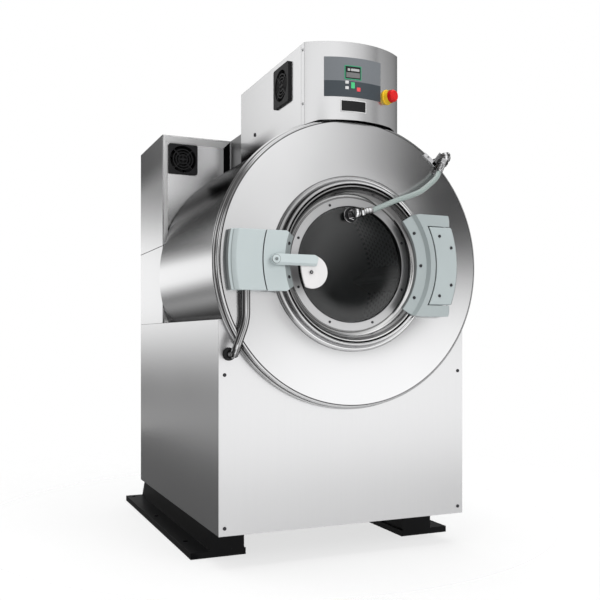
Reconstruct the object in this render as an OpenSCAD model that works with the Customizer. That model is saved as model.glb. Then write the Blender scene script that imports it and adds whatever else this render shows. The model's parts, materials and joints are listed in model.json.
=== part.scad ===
// Floor-anchored washer-extractor with a side-hinged round door.
// X is to the right, Y is to the back and Z is up. The origin is on the floor, midway between
// the two middle anchor holes of the mounting rails. Most pieces are drawn from the front
// panel's face, with Y counted backwards from it, so what stands in front of it is negative.

/* [Cabinet] */
// Width of the cabinet across its side panels
cabinet_w = 914; // [880:1:960]
// Depth of the cabinet from its front panel to its back
cabinet_d = 1135; // [1110:1:1180]
// Height of the cabinet's underside above the floor
cabinet_bottom = 110; // [90:1:140]
// Height of the lower cabinet's top edge
cabinet_top = 796; // [770:1:810]
// Thickness of the sheet metal panels
sheet = 2; // [1.2:0.1:3]
// From the front panel back to the upper rear housing
housing_front = 734; // [724:1:750]
// Height of the seam between the rear wrap and the rear hood
housing_seam = 1104; // [1080:1:1130]
// Height of the rear hood's top
housing_top = 1547; // [1530:1:1580]
// Depth of the recessed front pans of the rear housing
pan_depth = 23; // [15:1:30]
// Width of the centre housing and of the gap between the pans
centre_w = 344; // [320:1:346]
// From the front panel back to the centre housing
centre_front = 600; // [560:1:640]

/* [Mounting rails] */
// Length of a rail
rail_len = 1076; // [1040:1:1120]
// From the front panel back to the front end of a rail
rail_start = 170; // [150:1:190]
// From the middle of the machine out to a rail's outer edge
rail_reach = 500; // [490:1:515]
// Width of a rail's foot
foot_w = 194; // [170:1:210]
// Thickness of a rail's foot
foot_t = 22; // [16:1:28]
// Width of a rail's raised channel
channel_w = 118; // [100:1:130]
// From the middle of the machine out to the channel's outer side
channel_reach = 430; // [420:1:436]
// Wall of the channel
channel_wall = 8; // [5:0.5:12]
// How far the channel's back end slopes forward
channel_slope = 77; // [40:1:100]
// Distance between neighbouring anchor holes along a rail
anchor_pitch = 440; // [400:1:450]
// From a rail's outer edge in to the anchor holes
anchor_inset = 28; // [22:1:34]
// Radius of an anchor hole
anchor_r = 9; // [7:0.5:11]
// From the front panel back to the middle anchor holes
anchor_setback = 776; // [760:1:790]

/* [Base frame] */
// Width of the frame's beams
beam_w = 80; // [60:1:100]
// Height of the frame's beams
beam_h = 40; // [30:1:44]
// Side of the corner posts
post_w = 36; // [25:1:40]
// Thickness of the saddle plates under the shell
saddle_t = 12; // [8:1:20]
// Half the width of a saddle plate
saddle_reach = 360; // [330:1:380]
// Height of the saddle plates' horns
saddle_top = 640; // [600:1:680]
// From the front panel back to the front saddle
saddle_front = 130; // [100:1:200]
// From the front panel back to the rear saddle
saddle_rear = 650; // [620:1:690]
// Height of the motor deck's upper face
deck_top = 262; // [250:1:275]
// Thickness of the motor deck
deck_t = 12; // [8:1:16]
// How far the motor deck reaches past the motor's front
deck_margin = 7; // [0:1:20]

/* [Shell] */
// Height of the drum axis above the floor
axis_z = 983; // [970:1:1000]
// Outer radius of the shell
shell_r = 470; // [460:1:474]
// Wall of the shell
shell_t = 3; // [2:0.5:5]
// Thickness of the shell's back plate
shell_back_t = 8; // [6:1:12]
// How far the rim's rear bead stands out past the shell
rim_w = 15; // [12:1:18]
// Radius of the rim's rear bead section
rim_bead_r = 9; // [6:0.5:10]
// How much smaller the rim's front bead is than the rear one
rim_step = 6; // [4:0.5:8]
// How far the front plate's outer edge stands before the front panel
plate_outer_proud = 52; // [48:1:56]
// How far the front plate's inner edge stands before the front panel
plate_inner_proud = 38; // [34:1:44]
// Thickness of the front plate
plate_t = 3; // [2:0.5:4]

/* [Door opening] */
// Outer radius of the trim ring
trim_r = 292; // [288:1:296]
// Inner radius of the trim ring, which is the door opening
opening_r = 262; // [260:1:266]
// How far the trim ring's inner bead stands before the front panel
trim_proud = 67; // [64:1:69]
// Radius of the trim ring's outer bead section
trim_bead_r = 10; // [7:0.5:11]
// Radius of the trim ring's inner bead section
lip_bead_r = 5; // [4:0.5:6]
// Wall of the trim ring's collar
collar_t = 4; // [3:0.5:6]
// From the front panel back to the seal's seat
seal_seat = 8; // [6:1:12]
// Radius of the seal's round lip
seal_lip_r = 4; // [3:0.5:5]

/* [Door] */
// Outer radius of the door frame's lip
door_r = 258; // [255:1:259]
// How far the door frame's lip stands before the front panel
door_proud = 62; // [58:1:64]
// Outer radius of the glass retaining ring
ring_r = 222; // [218:1:226]
// Inner radius of the glass retaining ring
ring_bore_r = 195; // [191:1:199]
// Thickness of the retaining ring
ring_t = 4; // [3:0.5:6]
// Thickness of the door glass
glass_t = 8; // [6:0.5:10]
// How far the glass and the ring's seat stand before the front panel
glass_proud = 17; // [14:1:20]
// How far the ring laps over the edge of the glass
glass_lap = 10; // [8:1:13]
// Number of screws in the retaining ring
ring_screws = 8; // [6:1:12]
// Radius of a door screw's head
door_screw_r = 4.5; // [3.5:0.5:5.5]

/* [Hinge and lock castings] */
// How far the castings' faces stand before the front panel
casting_proud = 87; // [85:1:90]
// From the drum axis right to the hinge pin
pin_x = 332; // [330:1:336]
// How far the hinge pin stands before the front panel
pin_proud = 66; // [65:1:68]
// Radius of the hinge pin
pin_r = 8; // [6:0.5:9]
// Radius of the hinge knuckle behind the pin
knuckle_r = 17; // [14:0.5:18]
// Outer radius of the hinge arm and hinge block, about the drum axis
hinge_r = 380; // [370:1:388]
// Half the height of the hinge arm
arm_half_h = 173; // [165:1:180]
// Half the height of the hinge block
block_half_h = 133; // [128:1:138]
// Gap above and below the hinge block, filled by a washer
washer_gap = 2; // [1.5:0.1:3]
// Clearance between the hinge block and the door's spine
spine_gap = 4.5; // [4:0.1:6]
// Height of the lock housing's lower edge below the drum axis
lock_low = 98; // [90:1:104]
// Height of the lock housing's upper edge above the drum axis
lock_high = 92; // [86:1:100]
// Outer radius of the lock housing, about the drum axis
lock_r = 450; // [444:1:454]
// Radius of the seam between the latch ear and the lock housing
latch_seam_r = 340; // [334:1:346]
// Width of that seam
latch_seam = 2.5; // [2:0.1:4]

/* [Handle] */
// From the drum axis left to the handle's hub
hub_x = 303; // [300:1:308]
// Radius of the handle's hub
hub_r = 15; // [13:0.5:18]
// Radius of the handle's shaft
handle_shaft_r = 10; // [8:0.5:11]
// Length of the lever from the hub to its tip
lever_len = 144; // [130:1:150]
// Height of the lever bar
lever_h = 32; // [26:1:36]
// Thickness of the lever bar
lever_t = 13; // [10:0.5:16]
// Gap between the lever and the ear's face
lever_gap = 5; // [4:0.5:7]
// Radius of the paddle
paddle_r = 53; // [45:1:56]
// Thickness of the paddle
paddle_t = 8; // [6:0.5:10]
// How far the paddle's middle hangs below the drum axis
paddle_drop = 36; // [30:1:42]
// From the drum axis left to the paddle's middle
paddle_x = 174; // [170:1:180]
// Radius about the drum axis where the paddle's outer side is cut
paddle_cut_r = 215; // [208:1:220]

/* [Control box] */
// Width of the control box
control_w = 348; // [330:1:360]
// Height of the control box over the rim
control_h = 233; // [215:1:260]
// Depth of the control front's straight side strips
control_strip = 25; // [20:1:30]
// Radius of the control front's bulge
bulge_r = 282; // [270:1:320]
// Gap between the rim and the control front's lower edge
rim_gap = 2; // [1.5:0.5:4]
// Width of the keypad panel
keypad_w = 200; // [180:1:210]
// Height of the keypad panel
keypad_h = 128; // [110:1:135]
// Middle of the keypad panel, from the middle of the machine
keypad_x = -19; // [-25:1:-10]
// From the control box's top down to the keypad panel's lower edge
keypad_drop = 179; // [171:1:186]
// Thickness of the keypad panel
keypad_t = 2; // [1.5:0.1:3]
// Width of the display window
display_w = 59; // [50:1:70]
// Height of the display window
display_h = 46; // [40:1:50]
// Middle of the display window, from the middle of the machine
display_x = -26.5; // [-30:0.5:-20]
// From the control box's top down to the display window's lower edge
display_drop = 123; // [116:1:127]
// Width of the bare name plate
plate_w = 90; // [80:1:100]
// Height of the bare name plate
plate_h = 39; // [30:1:42]
// Middle of the name plate, from the middle of the machine
plate_x = -23; // [-30:1:-15]
// From the control box's top down to the name plate's lower edge
plate_drop = 228; // [223:1:236]
// Travel of a key
key_travel = 0.8; // [0.5:0.1:1]
// Height of a key above the keypad panel
key_proud = 1; // [0.9:0.1:1.5]

/* [Emergency stop] */
// From the middle of the machine right to the emergency stop
stop_x = 111; // [105:1:118]
// From the control box's top down to the emergency stop's middle
stop_drop = 158; // [151:1:166]
// Radius of its mounting bezel
stop_base_r = 25; // [24:0.5:27]
// Radius of its yellow collar
stop_collar_r = 22.5; // [22:0.5:23.5]
// Length of its yellow collar
stop_collar_h = 14; // [10:1:18]
// Radius of its red head
stop_head_r = 20; // [17:0.5:20.5]
// Length of its red head
stop_head_h = 22; // [18:1:26]
// Travel of the push
stop_travel = 5; // [3:0.5:6]
// Radius of its plunger
stop_stem_r = 6; // [4:0.5:8]

/* [Fans] */
// Side of a cooling fan's frame
fan_side = 119; // [110:1:120]
// Depth of a cooling fan's frame
fan_d = 38; // [25:1:40]
// Radius of the fan's air way
fan_r = 54; // [48:1:56]
// Radius of the rotor's hub
fan_hub_r = 20; // [16:1:24]
// Number of rotor blades
fan_blades = 7; // [5:1:9]
// Side of the guard on the rear housing
box_guard_side = 120; // [118:1:126]
// Side of the guard on the control box
control_guard_side = 136; // [128:1:138]
// Thickness of a guard
guard_t = 9; // [6:0.5:12]
// Width of a guard's rings and spokes
guard_bar = 4; // [3:0.5:6]
// Gap between the rear housing's guard and its pan's sloping edges
guard_inset = 3; // [1:0.5:8]
// From the front panel back to the control box's fan
control_fan_y = 158; // [150:1:170]
// From the control box's top down to the middle of its fan
control_fan_drop = 92; // [81:1:101]

/* [Drum and drive] */
// Gap between the shell's wall and the basket
basket_gap = 27; // [18:1:40]
// Wall of the basket
basket_t = 3; // [2:0.5:4]
// From the front panel back to the basket's front
basket_front = 34; // [30:1:40]
// From the front panel back to the basket's back plate
basket_back = 668; // [640:1:690]
// Radius of the basket's mouth
basket_mouth_r = 232; // [226:1:238]
// Number of lifters
lifters = 3; // [3:1:4]
// Height of a lifter
lifter_h = 80; // [60:1:90]
// Width of a lifter's foot
lifter_w = 110; // [90:2:130]
// Radius of the drum shaft
shaft_r = 45; // [35:1:50]
// Outer radius of the bearing housing's hub
bearing_hub_r = 90; // [80:1:110]
// Radius of the bearing housing's flange
bearing_flange_r = 160; // [140:1:168]
// Thickness of that flange
bearing_flange_t = 18; // [12:1:24]
// Gap between the bearing housing and the drum pulley
bearing_gap = 49; // [30:1:70]
// Radius of the drum pulley
drum_pulley_r = 230; // [200:1:240]
// Radius of the motor pulley
motor_pulley_r = 60; // [50:1:75]
// From the cabinet's back forward to the middle belt
belt_inset = 90; // [85:1:97]
// Distance between neighbouring belts
belt_pitch = 20; // [18:1:22]
// Thickness of a belt
belt_t = 10; // [8:0.5:12]
// Width of a belt
belt_w = 12; // [10:0.5:14]
// Height of the motor shaft above the floor
motor_z = 405; // [400:1:430]
// Radius of the motor's body
motor_r = 125; // [100:1:130]
// Length of the motor's body
motor_len = 240; // [220:1:250]
// Radius of the motor's shaft
motor_shaft_r = 19; // [14:1:24]

/* [Water and drain] */
// Radius of the chrome water pipe
pipe_r = 11; // [9:0.5:13]
// How far outside the rim the water pipe runs
pipe_gap = 28.2; // [26:0.2:31]
// Angle of the water pipe over the drum axis
pipe_a = 47.6; // [46:0.1:49]
// Radius of the spray hose
hose_r = 9; // [7:0.5:10]
// Radius of the hose ferrules
ferrule_r = 12; // [11:0.5:13]
// Length of a hose ferrule
ferrule_len = 34; // [28:1:40]
// How far the spray nozzle sits above the drum axis
nozzle_rise = 166; // [160:1:168]
// Radius of the spray nozzle's flange
nozzle_flange_r = 26; // [22:1:26]
// Radius of the lock's conduit
conduit_r = 13; // [10:0.5:14]
// From the middle of the machine left to the conduit at the lock housing
conduit_x = 390; // [384:1:396]
// Length of the conduit's straight run under the lock housing
conduit_drop = 95; // [80:1:110]
// From the cabinet's left side in to the conduit's entry in the front panel
conduit_inset = 34; // [31:1:39]
// How far outside the rim that entry lies
conduit_gap = 31.5; // [28:0.5:36]
// Radius of the rubber boot at that entry
boot_r = 21; // [18:1:22]
// Radius of the drain pipe
drain_r = 38; // [32:1:40]
// Wall of the drain pipe
drain_wall = 4; // [2:0.5:6]
// Height of the drain pipe above the floor
drain_z = 197; // [192:1:200]
// From the front panel back to the drain
drain_y = 560; // [520:1:590]
// How far the drain pipe stands out of the back
drain_out = 70; // [50:1:90]
// Radius of an inlet valve's threaded spigot
inlet_r = 13.2; // [12:0.1:14]
// Length of that spigot
inlet_len = 18; // [14:1:24]
// Distance between the two inlet valves
inlet_pitch = 90; // [80:1:110]
// From the middle of the machine left to the middle between the inlet valves
inlet_x = 260; // [200:1:320]
// From the rear hood's top down to the inlet valves
inlet_drop = 117; // [90:1:150]
// Height of the drain valve's body
valve_h = 70; // [55:1:90]
// Length of the shell's drain spigot
drain_stub = 40; // [30:1:50]

/* [Service cover] */
// Width of the service window
window_w = 440; // [360:2:520]
// From the rear wrap's edges in to the service window
window_margin = 34; // [26:1:50]
// How far the service cover laps over its window
cover_lap = 20; // [15:1:25]
// Depth of the service cover
cover_t = 8; // [5:1:12]

/* [Hidden] */
$fn = 96;
// Clearance between pieces that are seated on each other
seat = 0.3;
// Thickness of the adhesive under the films and plates on the control front
film = 0.2;
// Radial clearance of a shaft in its bore
running = 0.05;
// Overreach of a cutting shape
over = 5;
half_w = cabinet_w / 2;
rim_r = shell_r + rim_w;
basket_r = shell_r - shell_t - basket_gap;
anchor_reach = rail_reach - anchor_inset;
control_top = axis_z + rim_r + control_h;
keypad_z = control_top - keypad_drop;
display_z = control_top - display_drop;
plate_z = control_top - plate_drop;
stop_z = control_top - stop_drop;
control_fan_z = control_top - control_fan_drop;
inlet_z = housing_top - inlet_drop;
pipe_x = (rim_r + pipe_gap) * cos(pipe_a);
pipe_z = axis_z + (rim_r + pipe_gap) * sin(pipe_a);
conduit_entry_x = half_w - conduit_inset;
conduit_entry_z = axis_z - sqrt(pow(rim_r + conduit_gap, 2) - pow(conduit_entry_x, 2));
belt_y = cabinet_d - belt_inset;
frame_half = half_w - sheet - seat;
channel_mid = channel_reach - channel_w / 2;
rim_face_r = rim_r - rim_step - rim_bead_r;
plate_slope = (plate_outer_proud - plate_inner_proud) / (rim_face_r - trim_r);
glass_r = ring_bore_r + glass_lap;
ring_face = -glass_proud - ring_t;
door_back = seal_seat - seal_lip_r - 5 - seat;
arm_crescent_r = ring_r - 3;
arm_ridge_r = 262;
arm_tilt = atan(6 / (arm_ridge_r - arm_crescent_r));
casting_clear = -trim_proud - 2.5;
ear_r = latch_seam_r - latch_seam / 2;
ear_end_r = 243;
lip_r = 5;
lifter_seat_r = sqrt((basket_r - basket_t / 2) ^ 2 - (lifter_w / 2) ^ 2);
ear_lip = 8;
ear_rise = casting_proud - door_proud - ear_lip;
ear_slope_w = 24;
ear_tilt = atan(ear_rise / ear_slope_w);
lever_face = -casting_proud - lever_gap - lever_t;
front_edge_y = -control_strip;
bulge_y = front_edge_y + sqrt(pow(bulge_r, 2) - pow(control_w / 2, 2));
fan_window_r = fan_r + 2;
box_fan_x = frame_half - pan_depth - guard_inset - box_guard_side / 2;
box_fan_z = housing_top - sheet - pan_depth - guard_inset - box_guard_side / 2;
conduit_y = plate_outer_proud + conduit_r + 2;
arm_screw_r = (arm_crescent_r + arm_ridge_r) / 2;
knuckle_back = 4 - plate_outer_proud;
ear_back = 1 - plate_outer_proud;
belt_half_w = belt_w / 2 - 3;
shaft_end = belt_y + 45;
pulley_w = 3 * belt_pitch + 8;
motor_end = belt_y - pulley_w / 2 - 12;
deck_start = motor_end - motor_len - deck_margin;
bearing_end = belt_y - pulley_w / 2 - bearing_gap;
drain_top = axis_z - shell_r - drain_stub;
block_screws = [[pin_x - 28, block_half_h - 31], [pin_x + 19, block_half_h - 69]];
belt_drop = axis_z - motor_z;
belt_lean = asin((drum_pulley_r - motor_pulley_r) / belt_drop);
nozzle_z = axis_z + nozzle_rise;
pipe_elbow = [pipe_x, -57, pipe_z];
nozzle_elbow = [0, -62, nozzle_z];
// The spray hose's middle line, chosen by hand, from the cabinet's ferrule to the door's
hose_route = [[310, -72, 1306], [304, -76, 1296], [296, -80, 1286], [284, -84, 1275], [270, -88, 1264],
  [254, -91, 1252], [238, -93, 1240], [220, -94, 1229], [200, -94, 1220], [180, -93, 1212],
  [160, -91, 1205], [140, -88, 1198], [120, -85, 1190], [100, -81, 1181], [82, -77, 1173],
  [66, -73, 1166], [54, -70, 1161]];

// Height over the drum axis of a circle about it, at a distance x to the side
function rise(r, x) = sqrt(pow(r, 2) - pow(x, 2));
// Y of the front plate's face at radius r: the plate is a shallow cone
function plate_face(r) = -plate_inner_proud - plate_slope * (r - trim_r);
// Y of the hinge arm's crescent face at radius r
function crescent_face(r) =
  -door_proud - 4 - 6 * (r - arm_crescent_r) / (arm_ridge_r - arm_crescent_r);
// Y of the latch ear's sloping end at radius r
function ear_face(r) =
  -door_proud - ear_lip - ear_rise * min(1, (r - ear_end_r) / ear_slope_w);
// A vector's direction
function unit(v) = v / norm(v);

// Puts children drawn from the front panel's face into the part's frame
module placed() { translate([0, -anchor_setback, 0]) children(); }

// Turns a profile of (radius, y) about the drum axis
module turned() {
  translate([0, 0, axis_z]) rotate([-90, 0, 0]) rotate_extrude() children();
}

// Extrudes a drawing of (x, height over the drum axis) from y0 back to y1
module seen_from_front(y0, y1) {
  translate([0, y1, axis_z]) rotate([90, 0, 0]) linear_extrude(y1 - y0) children();
}

// A round bar about the drum axis, from y0 back to y1
module axis_bar(r, y0, y1) { seen_from_front(y0, y1) circle(r); }

// A round bar along Y through (x, z)
module bar_y(x, z, r, y0, y1) {
  translate([x, y0, z]) rotate([-90, 0, 0]) cylinder(r = r, h = y1 - y0);
}

// A box between two corners
module box(low, high) { translate(low) cube(high - low); }

// A round bar from point p to point q
module bar(p, q, r, r2 = undef) {
  d = q - p;
  translate(p) rotate([0, acos(d[2] / norm(d)), atan2(d[1], d[0])])
    cylinder(r1 = r, r2 = is_undef(r2) ? r : r2, h = norm(d));
}

// A tube run through points, with a slightly larger ball at each bend
module tube_run(points, r) {
  for (i = [0 : len(points) - 2]) bar(points[i], points[i + 1], r);
  for (i = [1 : len(points) - 2]) translate(points[i]) sphere(r = r * 1.04);
}

// A flat rectangle with round corners, about the origin
module round_rect(w, h, r) {
  square([w - 2 * r, h], center = true);
  square([w, h - 2 * r], center = true);
  for (x = [-1, 1], y = [-1, 1]) translate([x * (w / 2 - r), y * (h / 2 - r)]) circle(r);
}

// A low round screw head standing along -Y on the face at y
module screw_head(x, z, y, r) {
  translate([x, y, z]) rotate([90, 0, 0]) cylinder(r1 = r, r2 = r * 0.7, h = r * 0.6);
}

// Left rail, mirrored for the right: a foot with three anchor holes under a sloping channel
module rail() {
  difference() {
    union() {
      box([-rail_reach, rail_start, 0], [-rail_reach + foot_w, rail_start + rail_len, foot_t]);
      translate([-channel_reach, rail_start, 0]) rotate([90, 0, 90]) linear_extrude(channel_w)
        polygon([[0, 0], [rail_len, 0], [rail_len - channel_slope, cabinet_bottom],
          [0, cabinet_bottom]]);
    }
    translate([-channel_reach + channel_wall, rail_start, 0]) rotate([90, 0, 90])
      linear_extrude(channel_w - 2 * channel_wall)
        polygon([[channel_wall, -over], [rail_len - channel_wall, -over],
          [rail_len - channel_slope - channel_wall, cabinet_bottom - channel_wall],
          [channel_wall, cabinet_bottom - channel_wall]]);
    for (i = [-1 : 1]) translate([-anchor_reach, anchor_setback + i * anchor_pitch, -over])
      cylinder(r = anchor_r, h = foot_t + 2 * over);
  }
}
module rail_left() { color("#1b1b1d") placed() rail(); }
module rail_right() { color("#1b1b1d") placed() mirror([1, 0, 0]) rail(); }

// Welded frame: beams on the rails, corner posts, saddles under the shell and the motor deck
module base_frame() {
  y0 = sheet + seat;
  y1 = cabinet_d - sheet - seat;
  beam_top = cabinet_bottom + beam_h;
  post_top = axis_z - rise(shell_r, frame_half - post_w) - 12;
  color("#4a4d50") placed() difference() {
    union() {
      for (s = [-1, 1]) {
        box([s * channel_mid - beam_w / 2, y0, cabinet_bottom],
          [s * channel_mid + beam_w / 2, y1, beam_top]);
        for (y = [y0, y1 - post_w])
          box([s > 0 ? frame_half - post_w : -frame_half, y, cabinet_bottom],
            [s > 0 ? frame_half : post_w - frame_half, y + post_w, post_top]);
        box([s * channel_mid - beam_w / 2, deck_start, beam_top],
          [s * channel_mid + beam_w / 2, deck_start + deck_t, deck_top]);
        box([s * channel_mid - beam_w / 2, y1 - deck_t, beam_top],
          [s * channel_mid + beam_w / 2, y1, deck_top]);
      }
      for (y = [y0, y1 - beam_w])
        box([-frame_half, y, cabinet_bottom], [frame_half, y + beam_w, beam_top]);
      for (y = [saddle_front, saddle_rear]) {
        box([-saddle_reach, y, cabinet_bottom], [saddle_reach, y + saddle_t, saddle_top]);
        box([-saddle_reach, y - 25, cabinet_bottom], [saddle_reach, y + saddle_t + 25, beam_top]);
      }
      box([-channel_mid - beam_w / 2, deck_start, deck_top - deck_t],
        [channel_mid + beam_w / 2, y1, deck_top]);
    }
    axis_bar(shell_r + seat, -over, housing_front);
    bar_y(0, drain_z, drain_r + 4, drain_y, cabinet_d);
  }
}

// Front panel, cut round where the shell passes
module front_panel() {
  color("#e4e4e4") placed() difference() {
    box([-half_w, 0, cabinet_bottom], [half_w, sheet, cabinet_top]);
    axis_bar(shell_r + seat, -over, over);
    bar_y(-conduit_entry_x, conduit_entry_z, conduit_r + 1, -over, over);
  }
}

// Left side panel, mirrored for the right, with a top flange that reaches to the shell
module side_panel() {
  flange_in = rise(shell_r, axis_z - cabinet_top) + 1;
  box([-half_w, sheet + seat, cabinet_bottom], [sheet - half_w, cabinet_d, cabinet_top]);
  box([-half_w, sheet + seat, cabinet_top - sheet], [-flange_in, housing_front, cabinet_top]);
}
module side_panel_left() { color("#c9c9ca") placed() side_panel(); }
module side_panel_right() { color("#c9c9ca") placed() mirror([1, 0, 0]) side_panel(); }

// Back panel with vent slots over the motor and a hole for the drain pipe
module back_panel() {
  color("#c4c4c6") placed() difference() {
    box([-frame_half, cabinet_d - sheet, cabinet_bottom], [frame_half, cabinet_d, cabinet_top]);
    for (x = [-190, 190], i = [0 : 7])
      translate([x, cabinet_d, motor_z + 30 + 24 * i]) rotate([90, 0, 0])
        linear_extrude(2 * over, center = true) round_rect(150, 9, 4.4);
    bar_y(0, drain_z, drain_r + 1, cabinet_d - over, cabinet_d + over);
  }
}

// Lower tier of the rear housing: two sides and a back with a service window
module rear_wrap() {
  color("#d6d6d8") placed() difference() {
    box([-half_w, housing_front, cabinet_top], [half_w, cabinet_d, housing_seam - 0.5]);
    box([sheet - half_w, housing_front - over, cabinet_top - over],
      [half_w - sheet, cabinet_d - sheet, housing_seam + over]);
    service_window(0, cabinet_d - over, cabinet_d + over);
  }
}

// The service window in the back, or a larger rectangle round it
module service_window(grow, y0, y1) {
  mid = (cabinet_top + housing_seam) / 2;
  half_h = (housing_seam - cabinet_top) / 2 - window_margin;
  box([-window_w / 2 - grow, y0, mid - half_h - grow],
    [window_w / 2 + grow, y1, mid + half_h + grow]);
}

// Shallow cover screwed over the service window
module service_cover() {
  color("#cfcfd1") placed() difference() {
    service_window(cover_lap, cabinet_d, cabinet_d + cover_t);
    service_window(cover_lap / 2, cabinet_d - over, cabinet_d + cover_t - sheet);
  }
}

// Upper tier of the rear housing: two sides, the back and the top
module rear_hood() {
  color("#c2c2c4") placed() difference() {
    box([-half_w, housing_front, housing_seam], [half_w, cabinet_d, housing_top]);
    box([sheet - half_w, housing_front - over, housing_seam - over],
      [half_w - sheet, cabinet_d - sheet, housing_top - sheet]);
    for (s = [-1, 1])
      bar_y(s * inlet_pitch / 2 - inlet_x, inlet_z, inlet_r + 1, cabinet_d - over, cabinet_d + over);
  }
}

// A rectangle standing in XZ, one step thick, inset from the pan's outline
module pan_rect(inset, y, step) {
  box([seat - frame_half + inset, y, cabinet_top + seat + inset],
    [-centre_w / 2 - seat - inset, y + step, housing_top - sheet - seat - inset]);
}

// Left front pan of the rear housing, mirrored for the right: a sheet whose edges slope in
module box_pan() {
  difference() {
    hull() {
      pan_rect(0, housing_front, 1);
      pan_rect(pan_depth, housing_front + pan_depth + sheet - 1, 1);
    }
    hull() {
      pan_rect(sheet * 1.2, housing_front - 1, 1);
      pan_rect(pan_depth + sheet * 0.4, housing_front + pan_depth - 1, 1);
    }
  }
}
module box_front_left() {
  color("#d9d9db") placed() difference() {
    box_pan();
    bar_y(-box_fan_x, box_fan_z, fan_window_r, housing_front, cabinet_d);
  }
}
module box_front_right() {
  color("#d9d9db") placed() difference() {
    mirror([1, 0, 0]) box_pan();
    bar_y(pipe_x, pipe_z, pipe_r + 1, housing_front, cabinet_d);
  }
}

// Centre housing between the control box and the rear hood, open below over the shell
module centre_housing() {
  color("#b5b5b8") placed() difference() {
    box([-centre_w / 2, centre_front, axis_z + rise(shell_r, centre_w / 2) - 1],
      [centre_w / 2, housing_front - seat, housing_top]);
    box([sheet - centre_w / 2, centre_front + sheet, axis_z],
      [centre_w / 2 - sheet, housing_front + over, housing_top - sheet]);
    axis_bar(shell_r + seat, centre_front - over, cabinet_d);
  }
}

// Tub shell: a tube along the drum axis with a back plate and a drain spigot below
module shell() {
  back = housing_front - 2;
  color("#a9a9ac") placed() difference() {
    union() {
      turned() polygon([[shell_r - shell_t, -plate_inner_proud - 6],
        [shell_r, -plate_inner_proud - 6], [shell_r, back], [shaft_r + 14, back],
        [shaft_r + 14, back - shell_back_t], [shell_r - shell_t, back - shell_back_t]]);
      translate([0, drain_y, drain_top]) cylinder(r = drain_r + 4, h = drain_stub + 5);
    }
    translate([0, drain_y, drain_top - over]) cylinder(r = drain_r, h = drain_stub + 30);
  }
}

// Rim ring round the shell's front: two rolled beads on a band, the front one smaller
module rim_ring() {
  front = plate_face(rim_face_r) + plate_t + seat;
  color("#cacacc") placed() turned() intersection() {
    union() {
      translate([rim_r - rim_bead_r, -rim_bead_r - 5]) circle(rim_bead_r);
      translate([rim_r - rim_step - rim_bead_r, front + rim_bead_r]) circle(rim_bead_r);
      translate([shell_r, front]) square([rim_r - rim_bead_r - shell_r, -4 - front]);
    }
    translate([shell_r + seat, front]) square([2 * rim_bead_r, -front]);
  }
}

// Front plate of the shell: a shallow cone from the rim in to the trim ring
module front_plate() {
  inner = trim_r + seat;
  color("#d8d8da") placed() turned() polygon([[inner, plate_face(inner)],
    [rim_face_r, plate_face(rim_face_r)], [rim_face_r, plate_face(rim_face_r) + plate_t],
    [inner, plate_face(inner) + plate_t]]);
}

// Polished trim of the door opening: an outer and an inner bead, a collar and the seal's seat
module door_trim_ring() {
  bead = [trim_r - trim_bead_r, plate_face(trim_r) - 5];
  lip = [opening_r + lip_bead_r, lip_bead_r - trim_proud];
  color("#e8e8ea") placed() turned() {
    translate(bead) circle(trim_bead_r);
    translate(lip) circle(lip_bead_r);
    polygon([lip - [lip_bead_r, 0], lip + [lip_bead_r, 0], bead + [0, -trim_bead_r],
      bead + [0, trim_bead_r], [opening_r, bead[1] + trim_bead_r]]);
    translate([opening_r, lip[1]]) square([collar_t, seal_seat + collar_t - lip[1]]);
    translate([door_r - 22, seal_seat]) square([opening_r + collar_t - door_r + 22, collar_t]);
  }
}

// Rubber door seal on the trim ring's seat, with a round lip towards the door
module door_seal() {
  color("#202022") placed() turned() {
    translate([door_r - 20, seal_seat - 5]) square([opening_r - seat - door_r + 20, 5]);
    translate([door_r - 11, seal_seat - 5]) circle(seal_lip_r);
  }
}

// Door frame: a turned dish whose hollow face runs from the lip down to the glass seat
module door_frame() {
  lip = door_r - 4;
  foot = ring_r + 2;
  steps = 12;
  color("#7d7d80") placed() turned() polygon(concat(
    [[ring_bore_r - 5, door_back - 2], [ring_bore_r - 5, seat + glass_t - glass_proud],
      [glass_r + seat, seat + glass_t - glass_proud], [glass_r + seat, -glass_proud]],
    [for (i = [0 : steps]) [foot + (lip - 2 - foot) * sin(90 * i / steps),
      -glass_proud - (door_proud - glass_proud) * (1 - cos(90 * i / steps))]],
    [[lip, -door_proud - 1], [lip + 3, -door_proud], [door_r, 4 - door_proud],
      [door_r - 6, door_back - 3], [door_r - 8, door_back], [door_r - 22, door_back],
      [door_r - 24, door_back - 2]]));
}

// Door glass, bored for the spray nozzle
module door_glass() {
  color("#3c4043", 0.6) placed() difference() {
    axis_bar(glass_r, -glass_proud, glass_t - glass_proud);
    bar_y(0, nozzle_z, ferrule_r + 1, -glass_proud - over, over);
  }
}

// Flat ring that holds the glass in the frame
module retaining_ring() {
  color("#c8c8ca") placed() turned() polygon([[ring_bore_r, -glass_proud],
    [ring_bore_r, ring_face + 1], [ring_bore_r + 1, ring_face], [ring_r - 1, ring_face],
    [ring_r, ring_face + 1], [ring_r, -glass_proud]]);
}

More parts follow.
